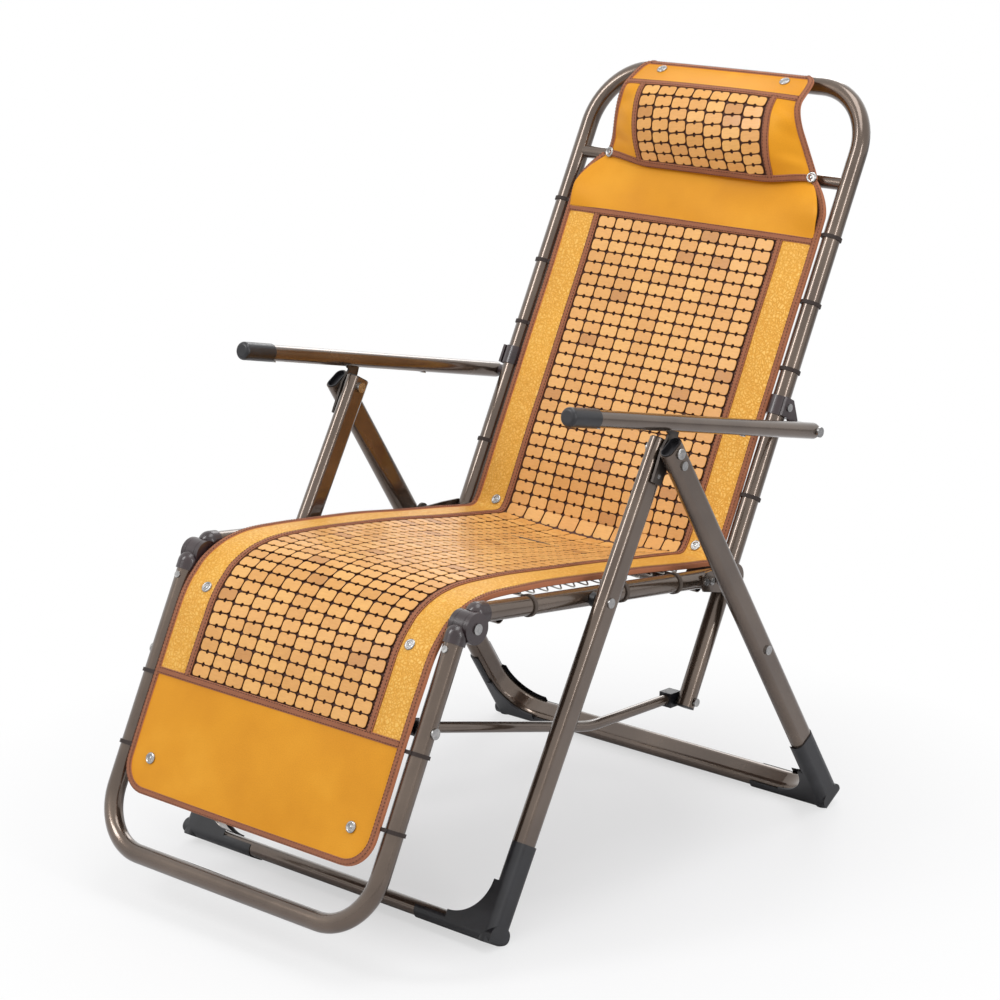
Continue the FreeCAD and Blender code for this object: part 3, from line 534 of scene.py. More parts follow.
def tile(build, centre, way, normal, half_x, half_y, tall, tone, flat_at):
    """A bamboo tile whose sides are painted near black, as painted shade in the gaps between tiles and as the
    darker burnt edges that the tiles have.
    """
    side = way.cross(normal).normalized()
    outline = tile_points(half_x, half_y)
    count = len(outline)
    # The last number of each ring scales the tile's tone: 0 paints the sides near black, as painted shade in
    # the gaps and as the tiles' burnt edges; 1 leaves the top its own tone
    rings = [(0.0, 0.0, 0.0), (0.0, tall - 1.0, 0.0), (0.15, tall - 0.4, 0.08), (0.75, tall, 1.0)]
    verts, flat, tones = [], [], []
    for inset, height, share in rings:
        for x, y in outline:
            r = math.hypot(x, y)
            k = (r - inset) / r
            verts.append(centre + side * (x * k * MM) + way * (y * k * MM) + normal * (height * MM))
            flat.append(((flat_at[0] + x * k) * MM, (flat_at[1] + y * k) * MM))
            tones.append(tone * share)
    faces = []
    for r in range(len(rings) - 1):
        for i in range(count):
            j = (i + 1) % count
            faces.append((r * count + i, r * count + j, (r + 1) * count + j, (r + 1) * count + i))
    top = (len(rings) - 1) * count
    faces.append(tuple(top + i for i in range(count)))
    faces.append(tuple(reversed(range(count))))
    build.add(verts, faces, flat, tones)


def turned(build, centre, axis, profile, count=24):
    """A round piece turned about an axis; profile gives radius and height in millimetres."""
    helper = Vector((1, 0, 0)) if abs(axis.x) < 0.9 else Vector((0, 1, 0))
    a = axis.cross(helper).normalized()
    b = axis.cross(a)
    verts = []
    for r, h in profile:
        for i in range(count):
            t = 2 * math.pi * i / count
            verts.append(centre + axis * (h * MM) + (a * math.cos(t) + b * math.sin(t)) * (r * MM))
    faces = []
    for k in range(len(profile) - 1):
        for i in range(count):
            j = (i + 1) % count
            faces.append((k * count + i, k * count + j, (k + 1) * count + j, (k + 1) * count + i))
    faces.append(tuple(reversed(range(count))))
    last = (len(profile) - 1) * count
    faces.append(tuple(last + i for i in range(count)))
    build.add(verts, faces, [(0.0, 0.0)] * len(verts))


# Materials
def material(name, base, rough=0.5, metal=0.0, coat=0.0, sheen=0.0):
    m = bpy.data.materials.new(name)
    m.use_nodes = True
    bsdf = m.node_tree.nodes["Principled BSDF"]
    bsdf.inputs["Base Color"].default_value = (*base, 1.0)
    bsdf.inputs["Roughness"].default_value = rough
    bsdf.inputs["Metallic"].default_value = metal
    bsdf.inputs["Coat Weight"].default_value = coat
    bsdf.inputs["Sheen Weight"].default_value = sheen
    return m, m.node_tree, bsdf


def node(tree, kind, **values):
    n = tree.nodes.new(kind)
    for key, value in values.items():
        if hasattr(n, key):
            setattr(n, key, value)
        else:
            n.inputs[key.replace("_", " ")].default_value = value
    return n


def coords(tree, flat):
    if flat:
        n = node(tree, "ShaderNodeUVMap", uv_map="flat")
        return n.outputs["UV"]
    return node(tree, "ShaderNodeTexCoord").outputs["Object"]


def noise(tree, source, scale, detail=3.0, stretch=(1, 1, 1), rough=0.5):
    mapping = node(tree, "ShaderNodeMapping")
    mapping.inputs["Scale"].default_value = stretch
    n = node(tree, "ShaderNodeTexNoise")
    n.inputs["Scale"].default_value = scale
    n.inputs["Detail"].default_value = detail
    n.inputs["Roughness"].default_value = rough
    tree.links.new(source, mapping.inputs["Vector"])
    tree.links.new(mapping.outputs["Vector"], n.inputs["Vector"])
    return n.outputs["Fac"]


def ramp(tree, source, stops):
    n = node(tree, "ShaderNodeValToRGB")
    while len(n.color_ramp.elements) < len(stops):
        n.color_ramp.elements.new(0.5)
    for element, (place, colour) in zip(n.color_ramp.elements, stops):
        element.position = place
        element.color = (*colour, 1.0)
    tree.links.new(source, n.inputs["Fac"])
    return n.outputs["Color"]


def span(tree, source, low, high, out_low, out_high):
    n = node(tree, "ShaderNodeMapRange")
    for key, value in (("From Min", low), ("From Max", high), ("To Min", out_low), ("To Max", out_high)):
        n.inputs[key].default_value = value
    tree.links.new(source, n.inputs["Value"])
    return n.outputs["Result"]


def bump_node(tree, bsdf, height, strength, distance):
    n = node(tree, "ShaderNodeBump")
    n.inputs["Strength"].default_value = strength
    n.inputs["Distance"].default_value = distance
    tree.links.new(height, n.inputs["Height"])
    tree.links.new(n.outputs["Normal"], bsdf.inputs["Normal"])
    return n


def mixed(tree, a, b, factor, mode="MIX"):
    n = node(tree, "ShaderNodeMix", data_type="RGBA", blend_type=mode)
    if isinstance(factor, float):
        n.inputs["Factor"].default_value = factor
    else:
        tree.links.new(factor, n.inputs["Factor"])
    for source, key in ((a, 6), (b, 7)):
        if isinstance(source, tuple):
            n.inputs[key].default_value = (*source, 1.0)
        else:
            tree.links.new(source, n.inputs[key])
    return n.outputs[2]


def painted_tube():
    m, tree, bsdf = material("bronze_paint", (0.12, 0.085, 0.063), 0.22, 0.75, coat=0.9)
    bsdf.inputs["Coat Roughness"].default_value = 0.12
    source = coords(tree, False)
    cloud = noise(tree, source, 14.0, 4.0)
    grain = noise(tree, source, 900.0, 2.0)
    colour = ramp(tree, cloud, [(0.3, (0.1, 0.069, 0.05)), (0.7, (0.15, 0.108, 0.08))])
    fleck = ramp(tree, grain, [(0.35, (0.72, 0.7, 0.68)), (0.65, (1.0, 1.0, 1.0))])
    tree.links.new(mixed(tree, colour, fleck, 0.35, "MULTIPLY"), bsdf.inputs["Base Color"])
    tree.links.new(span(tree, cloud, 0.3, 0.7, 0.2, 0.28), bsdf.inputs["Roughness"])
    bump_node(tree, bsdf, grain, 0.05, 0.0002)
    return m


def moulded(name, base, rough, coat):
    m, tree, bsdf = material(name, base, rough, coat=coat)
    source = coords(tree, False)
    cloud = noise(tree, source, 30.0, 4.0)
    grain = noise(tree, source, 1400.0, 3.0)
    low = tuple(c * 0.7 for c in base)
    high = tuple(min(c * 1.5 + 0.004, 1.0) for c in base)
    tree.links.new(ramp(tree, cloud, [(0.3, low), (0.7, high)]), bsdf.inputs["Base Color"])
    tree.links.new(span(tree, cloud, 0.3, 0.7, rough - 0.06, rough + 0.08), bsdf.inputs["Roughness"])
    bump_node(tree, bsdf, grain, 0.25, 0.0004)
    return m


def dark_metal():
    m, tree, bsdf = material("dark_metal", (0.06, 0.05, 0.045), 0.38, 0.7)
    source = coords(tree, False)
    cloud = noise(tree, source, 60.0, 5.0)
    colour = ramp(tree, cloud, [(0.35, (0.04, 0.033, 0.03)), (0.7, (0.09, 0.075, 0.065))])
    tree.links.new(colour, bsdf.inputs["Base Color"])
    tree.links.new(span(tree, cloud, 0.3, 0.7, 0.3, 0.46), bsdf.inputs["Roughness"])
    bump_node(tree, bsdf, noise(tree, source, 500.0, 2.0), 0.1, 0.0002)
    return m


def plated_steel():
    m, tree, bsdf = material("plated_steel", (0.38, 0.38, 0.38), 0.24, 1.0)
    source = coords(tree, False)
    cloud = noise(tree, source, 220.0, 3.0)
    colour = ramp(tree, cloud, [(0.3, (0.3, 0.3, 0.3)), (0.7, (0.46, 0.45, 0.44))])
    tree.links.new(colour, bsdf.inputs["Base Color"])
    tree.links.new(span(tree, cloud, 0.3, 0.7, 0.16, 0.34), bsdf.inputs["Roughness"])
    bump_node(tree, bsdf, cloud, 0.02, 0.00005)
    return m


def tile_bamboo():
    m, tree, bsdf = material("bamboo_tile", (0.8, 0.4, 0.13), 0.38, coat=0.1)
    source = coords(tree, True)
    tone = node(tree, "ShaderNodeAttribute", attribute_name="tone").outputs["Fac"]
    # Tone 0, on the tiles' sides, is near black: painted shade in the gaps between tiles, together with the
    # tiles' darker burnt edges; the tops' tones vary at random
    base = ramp(tree, tone, [
        (0.0, (0.07, 0.02, 0.008)),
        (0.04, (0.60, 0.27, 0.07)),
        (0.25, (0.76, 0.375, 0.10)),
        (0.6, (0.85, 0.43, 0.12)),
        (1.0, (0.91, 0.50, 0.15)),
    ])
    fibre = noise(tree, source, 420.0, 4.0, stretch=(0.16, 1.0, 1.0), rough=0.6)
    cloud = noise(tree, source, 60.0, 3.0)
    grain = ramp(tree, fibre, [(0.3, (0.86, 0.8, 0.72)), (0.62, (1.0, 1.0, 1.0))])
    colour = mixed(tree, base, grain, 0.55, "MULTIPLY")
    shade = ramp(tree, cloud, [(0.3, (0.93, 0.9, 0.86)), (0.7, (1.0, 1.0, 1.0))])
    tree.links.new(mixed(tree, colour, shade, 0.6, "MULTIPLY"), bsdf.inputs["Base Color"])
    tree.links.new(span(tree, cloud, 0.3, 0.7, 0.33, 0.46), bsdf.inputs["Roughness"])
    bump_node(tree, bsdf, fibre, 0.12, 0.0003)
    return m


def leatherette(name, crinkle):
    m, tree, bsdf = material(name, (0.8, 0.335, 0.018), 0.36)
    bsdf.inputs["Specular Tint"].default_value = (1.0, 0.72, 0.34, 1.0)
    source = coords(tree, True)
    cloud = noise(tree, source, 9.0, 3.0)
    fine = noise(tree, source, 620.0, 4.0)
    stops = [(0.3, (0.72, 0.285, 0.012)), (0.55, (0.80, 0.335, 0.018)), (0.75, (0.87, 0.39, 0.03))]
    base = ramp(tree, cloud, stops)
    if crinkle:
        n = node(tree, "ShaderNodeTexVoronoi", feature="DISTANCE_TO_EDGE")
        n.inputs["Scale"].default_value = 210.0
        n.inputs["Randomness"].default_value = 1.0
        warp = node(tree, "ShaderNodeVectorMath", operation="ADD")
        push = node(tree, "ShaderNodeTexNoise")
        push.inputs["Scale"].default_value = 90.0
        shrink = node(tree, "ShaderNodeVectorMath", operation="SCALE")
        shrink.inputs["Scale"].default_value = 0.012
        tree.links.new(source, push.inputs["Vector"])
        tree.links.new(push.outputs["Color"], shrink.inputs[0])
        tree.links.new(source, warp.inputs[0])
        tree.links.new(shrink.outputs["Vector"], warp.inputs[1])
        tree.links.new(warp.outputs["Vector"], n.inputs["Vector"])
        cells = n.outputs["Distance"]
        crease = ramp(tree, cells, [(0.0, (0.68, 0.58, 0.42)), (0.09, (1.0, 1.0, 1.0))])
        colour = mixed(tree, base, crease, 0.6, "MULTIPLY")
        # Mixing toward pale gold gives the strips their own paler colour, and more so in the cell middles as
        # a painted highlight on the raised cells
        gold_with_painted_highlight = mixed(tree, colour, (1.0, 0.66, 0.19), span(tree, cells, 0.03, 0.35, 0.2, 0.65))
        tree.links.new(gold_with_painted_highlight, bsdf.inputs["Base Color"])
        bump_node(tree, bsdf, span(tree, cells, 0.0, 0.25, 0.0, 1.0), 0.5, 0.0007)
        tree.links.new(span(tree, cells, 0.0, 0.3, 0.5, 0.33), bsdf.inputs["Roughness"])
    else:
        speck = ramp(tree, fine, [(0.35, (0.86, 0.82, 0.72)), (0.6, (1.0, 1.0, 1.0))])
        tree.links.new(mixed(tree, base, speck, 0.5, "MULTIPLY"), bsdf.inputs["Base Color"])
        tree.links.new(span(tree, cloud, 0.3, 0.7, 0.38, 0.5), bsdf.inputs["Roughness"])
        bump_node(tree, bsdf, fine, 0.18, 0.0004)
    return m


def woven(name, base, weave, depth, rough=0.75):
    m, tree, bsdf = material(name, base, rough, sheen=0.04)
    source = coords(tree, True)
    across = node(tree, "ShaderNodeTexWave", wave_type="BANDS", bands_direction="X")
    across.inputs["Scale"].default_value = weave
    up = node(tree, "ShaderNodeTexWave", wave_type="BANDS", bands_direction="Y")
    up.inputs["Scale"].default_value = weave * 1.15
    tree.links.new(source, across.inputs["Vector"])
    tree.links.new(source, up.inputs["Vector"])
    both = node(tree, "ShaderNodeMath", operation="MAXIMUM")
    tree.links.new(across.outputs["Fac"], both.inputs[0])
    tree.links.new(up.outputs["Fac"], both.inputs[1])
    cloud = noise(tree, source, 25.0, 3.0)
    low = tuple(c * 0.45 for c in base)
    high = tuple(min(c * 1.35, 1.0) for c in base)
    threads = ramp(tree, both.outputs[0], [(0.45, low), (0.95, high)])
    shade = ramp(tree, cloud, [(0.3, (0.8, 0.78, 0.76)), (0.7, (1.0, 1.0, 1.0))])
    tree.links.new(mixed(tree, threads, shade, 0.6, "MULTIPLY"), bsdf.inputs["Base Color"])
    bump_node(tree, bsdf, both.outputs[0], depth, 0.0006)
    return m


tube_paint = painted_tube()
black_plastic = moulded("black_moulding", (0.009, 0.009, 0.0115), 0.38, 0.1)
brown_plastic = moulded("brown_moulding", (0.028, 0.0155, 0.0175), 0.3, 0.3)
dark_plate = dark_metal()
steel = plated_steel()
tile_wood = tile_bamboo()
leather_plain = leatherette("golden_leatherette", False)
leather_crinkle = leatherette("crinkled_leatherette", True)
binding_cloth = woven("binding_webbing", (0.42, 0.15, 0.07), 260.0, 0.8)
stitch_thread = woven("binding_thread", (0.15, 0.045, 0.022), 500.0, 0.3)
backing_cloth = woven("backing_cloth", (0.085, 0.03, 0.018), 260.0, 0.4)
strap_cloth = woven("strap_webbing", (0.06, 0.035, 0.028), 300.0, 0.4)
seat_strap_cloth = woven("seat_strap_webbing", (0.2, 0.15, 0.12), 300.0, 0.3)
cord_white = woven("elastic_braid", (0.6, 0.58, 0.55), 420.0, 0.4)

CAD_LOOKS = [
    (tube_paint, """front_leg_frame rear_leg_frame seat_rail_left seat_rail_right seat_cross_tubes back_frame
        head_bar leg_rest_frame recline_rod_left recline_rod_right armrest_left armrest_right
        hinge_plates_left hinge_plates_right"""),
    (black_plastic, """front_foot_left front_foot_right rear_foot_left rear_foot_right front_leg_plugs
        rear_leg_plugs leg_pivot_spacers rail_pivot_spacers back_tube_plugs armrest_caps rod_front_blocks
        rod_rear_blocks"""),
    (brown_plastic, """seat_knuckle_left seat_knuckle_right leg_rest_knuckle_left leg_rest_knuckle_right
        armrest_mount_left armrest_mount_right"""),
    (dark_plate, "armrest_hooks armrest_slot_strips fold_link_left fold_link_right"),
    (steel, """leg_pivot_bolts hook_rivets rear_leg_rivets rail_pivot_bolts hinge_plate_rivets
        back_pivot_bolts mount_rivets armrest_slot_rivets armrest_bolts knee_pins leg_rest_rivets
        rod_rear_bolts rod_front_bolts link_pins link_bolts"""),
    (strap_cloth, "back_straps leg_rest_straps"),
    (seat_strap_cloth, "seat_straps"),
]
for look, names in CAD_LOOKS:
    for name in names.split():
        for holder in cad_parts[name].material_slots:
            holder.material = look


# The mat in four sections: the leg rest, the front and the rear of the seat, and the back, split at the knee,
# the middle of the seat and the hip
class Section:
    """A length of the mat, which keeps the names of two bodies and two points along it; fitting a piece only
    bakes its transform.
    """

    def __init__(self, name, low, high, first, second, start, end):
        self.name = name
        self.low = low
        self.high = high
        self.bodies = (first, second)
        self.start = tuple(mat_point(0, start, 0))
        self.end = tuple(mat_point(0, end, 0))

    def fit(self, piece, slot):
        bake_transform(piece)


KNEE_REACH = 72
KNEE_CLEAR = 3
HIP_REACH = 50
HIP_CLEAR = 2
SECTIONS = [
    Section("leg_rest", 0.0, V_KNEE, "leg_rest", "knee_pins", V_KNEE - KNEE_REACH, V_KNEE - KNEE_CLEAR),
    Section("seat_front", V_KNEE, V_SEAT, "knee_pins", "seat", V_KNEE + KNEE_CLEAR, V_KNEE + KNEE_REACH),
    Section("seat_rear", V_SEAT, V_HIP, "seat", "back_pins", V_HIP - HIP_REACH, V_HIP - HIP_CLEAR),
    Section("back", V_HIP, V_END, "back_pins", "back", V_HIP + HIP_CLEAR, V_HIP + HIP_REACH),
]

random.seed(41)
ROWS = round((V_FIELD_END - V_FIELD_START) / TILE_V)
ROW_PITCH = (V_FIELD_END - V_FIELD_START) / ROWS
tile_tones = [[random.random() for c in range(FIELD_COLUMNS)] for r in range(ROWS)]


DARK_TILES = 0.05
PALE_FROM = 0.25


def tone_for(value):
    """A tile's tone from 0 to 1, with a few much darker ones."""
    if value < DARK_TILES:
        return DARK_TILES + value
    return PALE_FROM + (1 - PALE_FROM) * value


def lay_tile(build, point, normal, x, v, pitch, gap, tone):
    """Lays one tile on a surface, as long as its row's pitch there less the gap."""
    way = point(x, v + TILE_STEP, 0) - point(x, v - TILE_STEP, 0)
    half_y = pitch * way.length / (2 * TILE_STEP * MM) / 2 - gap / 2
    half_x = (TILE_X - TILE_GAP_X) / 2
    tile(build, point(x, v, 0.0), way.normalized(), normal(x, v), half_x, half_y, TILE_TALL, tone, (x, v))


for section in SECTIONS:
    low, high = section.low, section.high

    tiles = Build()
    for r in range(ROWS):
        v = V_FIELD_START + (r + 0.5) * ROW_PITCH
        gap = TILE_GAP_SEAT if V_KNEE < v < V_HIP else TILE_GAP_MAT
        if not low <= v < high:
            continue
        for c in range(FIELD_COLUMNS):
            x = -FIELD_HALF + (c + 0.5) * TILE_X
            lay_tile(tiles, mat_point, mat_normal, x, v, ROW_PITCH, gap, tone_for(tile_tones[r][c]))
    section.tiles = tiles.make("mat_tiles_" + section.name, tile_wood, 25.0)

    backing = Build()
    start = 0.4 if low == 0.0 else low
    rows = [(mat_point, v, spread(half_width(v) - HEM_INSET, 14)) for v in steps(start, high, 7.0)]
    slab(backing, rows, BACKING_LOW, BACKING_TOP)
    section.backing = backing.make("mat_backing_" + section.name, backing_cloth)

    strips = Build()
    a = max(low, V_FIELD_START - STRIP_PAST)
    b = min(high, V_FIELD_END + STRIP_PAST)
    xs = [STRIP_IN + (STRIP_OUT - STRIP_IN) * k / STRIP_COLUMNS for k in range(STRIP_COLUMNS + 1)]
    slab(strips, [(mat_point, v, xs) for v in steps(a, b, EDGE_STEP)], LEATHER_LOW, LEATHER_TOP, crown=1.0)
    xs = [-x for x in reversed(xs)]
    slab(strips, [(mat_point, v, xs) for v in steps(a, b, EDGE_STEP)], LEATHER_LOW, LEATHER_TOP, crown=1.0)
    section.strips = strips.make("mat_strips_" + section.name, leather_crinkle)


OUTER_PROFILE = strip_profile(BINDING_WIDE, BACKING_LOW - 0.6, OUTER_HIGH)
INNER_PROFILE = strip_profile(INNER_BINDING, LEATHER_LOW, INNER_HIGH)


def bound(build, threads, spots, profile, wide, high):
    """A binding along spots, with a row of stitches near each of its edges."""
    run = lengths_of([p for p, n in spots])
    sweep(build, spots, profile, run)
    for side_at in (-wide / 2 + STITCH_INSET, wide / 2 - STITCH_INSET):
        stitches(threads, spots, side_at, high + 0.1)


def foot_end_spots(inset, high):
    """The hem from one side, round both corners of the foot end, to the other side."""
    reach = MAT_HALF - inset
    flank = steps(CORNER, high, EDGE_STEP)
    spots = [on_mat(reach, v) for v in reversed(flank)]
    for side, order in ((1, range(1, 12)), (-1, range(11, 0, -1))):
        for k in order:
            a = math.pi / 2 * k / 12
            r = CORNER - inset
            spots.append(on_mat(side * (MAT_HALF - CORNER + r * math.cos(a)), CORNER - r * math.sin(a)))
        if side == 1:
            spots += [on_mat(x, inset) for x in steps(MAT_HALF - CORNER, -(MAT_HALF - CORNER), ACROSS_STEP)]
    return spots + [on_mat(-reach, v) for v in flank]


for section in SECTIONS:
    low, high = section.low, section.high
    cloth = Build()
    threads = Build()
    inset = BINDING_WIDE / 2
    if low == 0.0:
        bound(cloth, threads, foot_end_spots(inset, high), OUTER_PROFILE, BINDING_WIDE, OUTER_HIGH)
    else:
        for side in (1, -1):
            spots = [on_mat(side * (half_width(v) - inset), v) for v in steps(low, high, EDGE_STEP)]
            bound(cloth, threads, spots, OUTER_PROFILE, BINDING_WIDE, OUTER_HIGH)
    a = max(low, V_FIELD_START - BINDING_PAST)
    b = min(high, V_FIELD_END + BINDING_PAST)
    for side in (1, -1):
        spots = [on_mat(side * INNER_X, v) for v in steps(a, b, EDGE_STEP)]
        bound(cloth, threads, spots, INNER_PROFILE, INNER_BINDING, INNER_HIGH)
    for v in (V_FIELD_START - INNER_BINDING / 2 - 0.5, V_FIELD_END + INNER_BINDING / 2 + 0.5):
        if low <= v < high:
            reach = MAT_HALF - BINDING_WIDE + 1
            spots = [on_mat(x, v) for x in steps(-reach, reach, ACROSS_STEP)]
            bound(cloth, threads, spots, INNER_PROFILE, INNER_BINDING, INNER_HIGH + 0.1)
    section.binding = cloth.make("mat_binding_" + section.name, binding_cloth)
    section.threads = threads.make("mat_stitches_" + section.name, stitch_thread)

# Plain bands at the foot end and behind the neck
foot_band = Build()
rows = [(mat_point, v, spread(half_width(v) - BINDING_WIDE + LEATHER_TUCK, 40))
        for v in steps(3.0, V_FIELD_START - INNER_BINDING + LEATHER_TUCK, 6.0)]
slab(foot_band, rows, LEATHER_LOW, LEATHER_TOP, crown=0.8)
foot_band_piece = foot_band.make("mat_foot_band", leather_plain)


def neck_point(x, v, h):
    """The neck band lies loose, with a few soft waves."""
    share = (v - V_FIELD_END) / (V_END - V_FIELD_END)
    loose = math.sin(math.pi * min(max(share, 0.0), 1.0))
    wave = 3.2 + 1.5 * math.sin(x / 34.0 + 2.2 * share + 0.6) + 1.4 * math.sin(x / 71.0 - 3.0 * share)
    side = smooth(abs(x), 120, 200)
    fold = side * (1.6 + 2.6 * math.sin(share * 4.2 + x / 42.0))
    return mat_point(x, v, h + loose * (wave + fold))


neck_band = Build()
rows = [(neck_point, v, spread(half_width(v) - BINDING_WIDE + LEATHER_TUCK, 60))
        for v in steps(V_FIELD_END + INNER_BINDING - LEATHER_TUCK, V_END - 1.0, 5.0)]
slab(neck_band, rows, LEATHER_LOW, LEATHER_TOP)
neck_band_piece = neck_band.make("mat_neck_band", leather_plain)

# Head pillow: stuffed body, tile field, leatherette flanks, top band over the tube, bindings
body = Build()
BODY_COLUMNS = 30
BODY_INSET = 3.0
BODY_TOP = -0.8
BODY_THIN = 3.4
BODY_FROM = 0.6
BODY_SHORT = 6.0
STUFFED_HALF = 92.0
STUFFED_END = 150.0
top, under, flat = [], [], []
for w in steps(BODY_FROM, W_HEM - BODY_SHORT, PILLOW_STEP):
    for x in spread(pillow_half(w) - BODY_INSET, BODY_COLUMNS):
        s, t = pillow_spot(x, w)
        thin = max(t - BODY_THIN, PILLOW_FLOOR)
        flat_out = smooth(abs(x), STUFFED_HALF, STUFFED_END)
        y, z = back_at(s, PILLOW_FLOOR + (thin - PILLOW_FLOOR) * flat_out)
        top.append(pillow_point(x, w, BODY_TOP))
        under.append(put(x + pillow_over(w), y, z))
        flat.append((x * MM, w * MM))
close_up(body, 2 * BODY_COLUMNS + 1, top, under, flat)
pillow_body = body.make("pillow_body", leather_plain)

pillow_tiles = Build()
W_FIELD_END = W_TOP_BINDING - INNER_BINDING / 2 - 0.5
PILLOW_PITCH = (W_FIELD_END - W_FIELD_START) / PILLOW_ROWS
for r in range(PILLOW_ROWS):
    w = W_FIELD_START + (r + 0.5) * PILLOW_PITCH
    for c in range(PILLOW_COLUMNS):
        x = -PILLOW_FIELD_HALF + (c + 0.5) * TILE_X
        tone = tone_for(random.random())
        lay_tile(pillow_tiles, pillow_point, pillow_normal, x, w, PILLOW_PITCH, TILE_GAP_PILLOW, tone)
pillow_tiles_piece = pillow_tiles.make("pillow_tiles", tile_wood, 25.0)

SKIN_LOW = -0.7
SKIN_HIGH = 1.3
FIELD_MARGIN = 3.0
backing = Build()
rows = [(pillow_point, w, spread(PILLOW_FIELD_HALF + FIELD_MARGIN, 20))
        for w in steps(W_FIELD_START - FIELD_MARGIN, W_FIELD_END + FIELD_MARGIN, 5.0)]
slab(backing, rows, SKIN_LOW, 0.25)
pillow_backing = backing.make("pillow_backing", backing_cloth)

flanks = Build()
for side in (1, -1):
    rows = []
    for w in steps(PILLOW_STEP, W_TOP_BINDING, PILLOW_STEP):
        inner = PILLOW_FIELD_HALF + FIELD_MARGIN
        outer = pillow_half(w) - BINDING_WIDE + LEATHER_TUCK
        xs = [side * (inner + (outer - inner) * k / 10) for k in range(11)]
        rows.append((pillow_point, w, xs if side > 0 else xs[::-1]))
    slab(flanks, rows, SKIN_LOW, SKIN_HIGH, crown=0.8)
pillow_flanks = flanks.make("pillow_flanks", leather_plain)

top_band = Build()
rows = [(pillow_point, w, spread(pillow_half(w) - BINDING_WIDE + LEATHER_TUCK, 40))
        for w in steps(W_TOP_BINDING, W_HEM - 1, PILLOW_STEP)]
slab(top_band, rows, SKIN_LOW, SKIN_HIGH)
pillow_top_band = top_band.make("pillow_top_band", leather_plain)

cloth = Build()
threads = Build()
EDGE_HIGH = 2.4
edge_profile = strip_profile(BINDING_WIDE, -2.2, EDGE_HIGH)
for side in (1, -1):
    spots = [on_pillow(side * (pillow_half(w) - BINDING_WIDE / 2), w)
             for w in steps(1.0, W_HEM - 1.0, PILLOW_STEP)]
    bound(cloth, threads, spots, edge_profile, BINDING_WIDE, EDGE_HIGH)
    x = side * (PILLOW_FIELD_HALF + INNER_BINDING / 2 + 1.6)
    spots = [on_pillow(x, w) for w in steps(W_HEM_BINDING, W_TOP_BINDING, PILLOW_STEP)]
    bound(cloth, threads, spots, INNER_PROFILE, INNER_BINDING, INNER_HIGH)
for w, profile, high in (
    (W_TOP_BINDING, INNER_PROFILE, INNER_HIGH),
    (W_HEM_BINDING, INNER_PROFILE, INNER_HIGH),
    (W_HEM - 4.5, edge_profile, EDGE_HIGH),
):
    reach = pillow_half(w) - BINDING_WIDE + 1.0
    spots = [on_pillow(x, w) for x in steps(-reach, reach, 7.0)]
    bound(cloth, threads, spots, profile, INNER_BINDING, high)
pillow_binding = cloth.make("pillow_binding", binding_cloth)
pillow_threads = threads.make("pillow_stitches", stitch_thread)

# Snap fasteners, as radius and height from the rim to the middle
SNAP = [(7.4, -0.6), (7.5, 0.9), (6.9, 1.7), (5.8, 2.0), (4.9, 1.7), (4.4, 1.0), (4.2, 0.6), (2.6, 0.6),
        (2.3, 1.1), (1.5, 1.4), (0.4, 1.5)]
SNAP_X = 180.0
SNAP_HEM_X = 178.0
SNAP_TOP_X = 108.0
V_SNAP_LOW = mat_line.nearest(leg_at(271, 18))
V_SNAP_TOP = mat_line.nearest(leg_at(42, 10))
V_SNAP_HIP = mat_line.nearest(back_at(27, 14))
W_SNAP_HEM = 4.5
W_SNAP_TOP = pillow_middle.nearest((680.0, 33.0))
snap_sets = {"leg_rest": Build(), "back": Build()}
for side in (1, -1):
    for v, name in ((V_SNAP_LOW, "leg_rest"), (V_SNAP_TOP, "leg_rest"), (V_SNAP_HIP, "back")):
        x = side * SNAP_X
        turned(snap_sets[name], mat_point(x, v, LEATHER_TOP + 1.0), mat_normal(x, v), SNAP)
    for across, w, lift in ((SNAP_HEM_X, W_SNAP_HEM, 2.6), (SNAP_TOP_X, W_SNAP_TOP, 1.8)):
        x = side * across
        turned(snap_sets["back"], pillow_point(x, w, lift), pillow_normal(x, w), SNAP)
snap_leg = snap_sets["leg_rest"].make("mat_snaps_leg_rest", steel)
snap_back = snap_sets["back"].make("mat_snaps_back", steel)

# Braided elastic lacing between the mat's hem and the seat rails
lacing = Build()
LACE_FROM = 92.0
LACE_TO = 440.0
LACE_PITCH = 13.0
LACE_IN = 214.5
LACE_WIDE = 12.0
LACE_HIGH = 15.2
LACE_DROP = 3.6
LACE_UP = Vector((0, 0.13, 0.99))
LACE_RING = [(1.2 * math.cos(math.pi * q / 4), 0.9 * math.sin(math.pi * q / 4)) for q in range(8)]
for side in (1, -1):
    path = []
    for k in range(int((LACE_TO - LACE_FROM) / LACE_PITCH * 6)):
        t = 0.5 - 0.5 * math.cos(math.pi * k / 6)
        y, z = seat_at(LACE_FROM + LACE_PITCH * k / 6, LACE_HIGH - LACE_DROP * t)
        path.append(put(side * (LACE_IN + LACE_WIDE * t), y, z))
    spots = [(p, LACE_UP) for p in path]
    sweep(lacing, spots, LACE_RING, lengths_of(path))
lacing_piece = lacing.make("seat_lacing", cord_white)

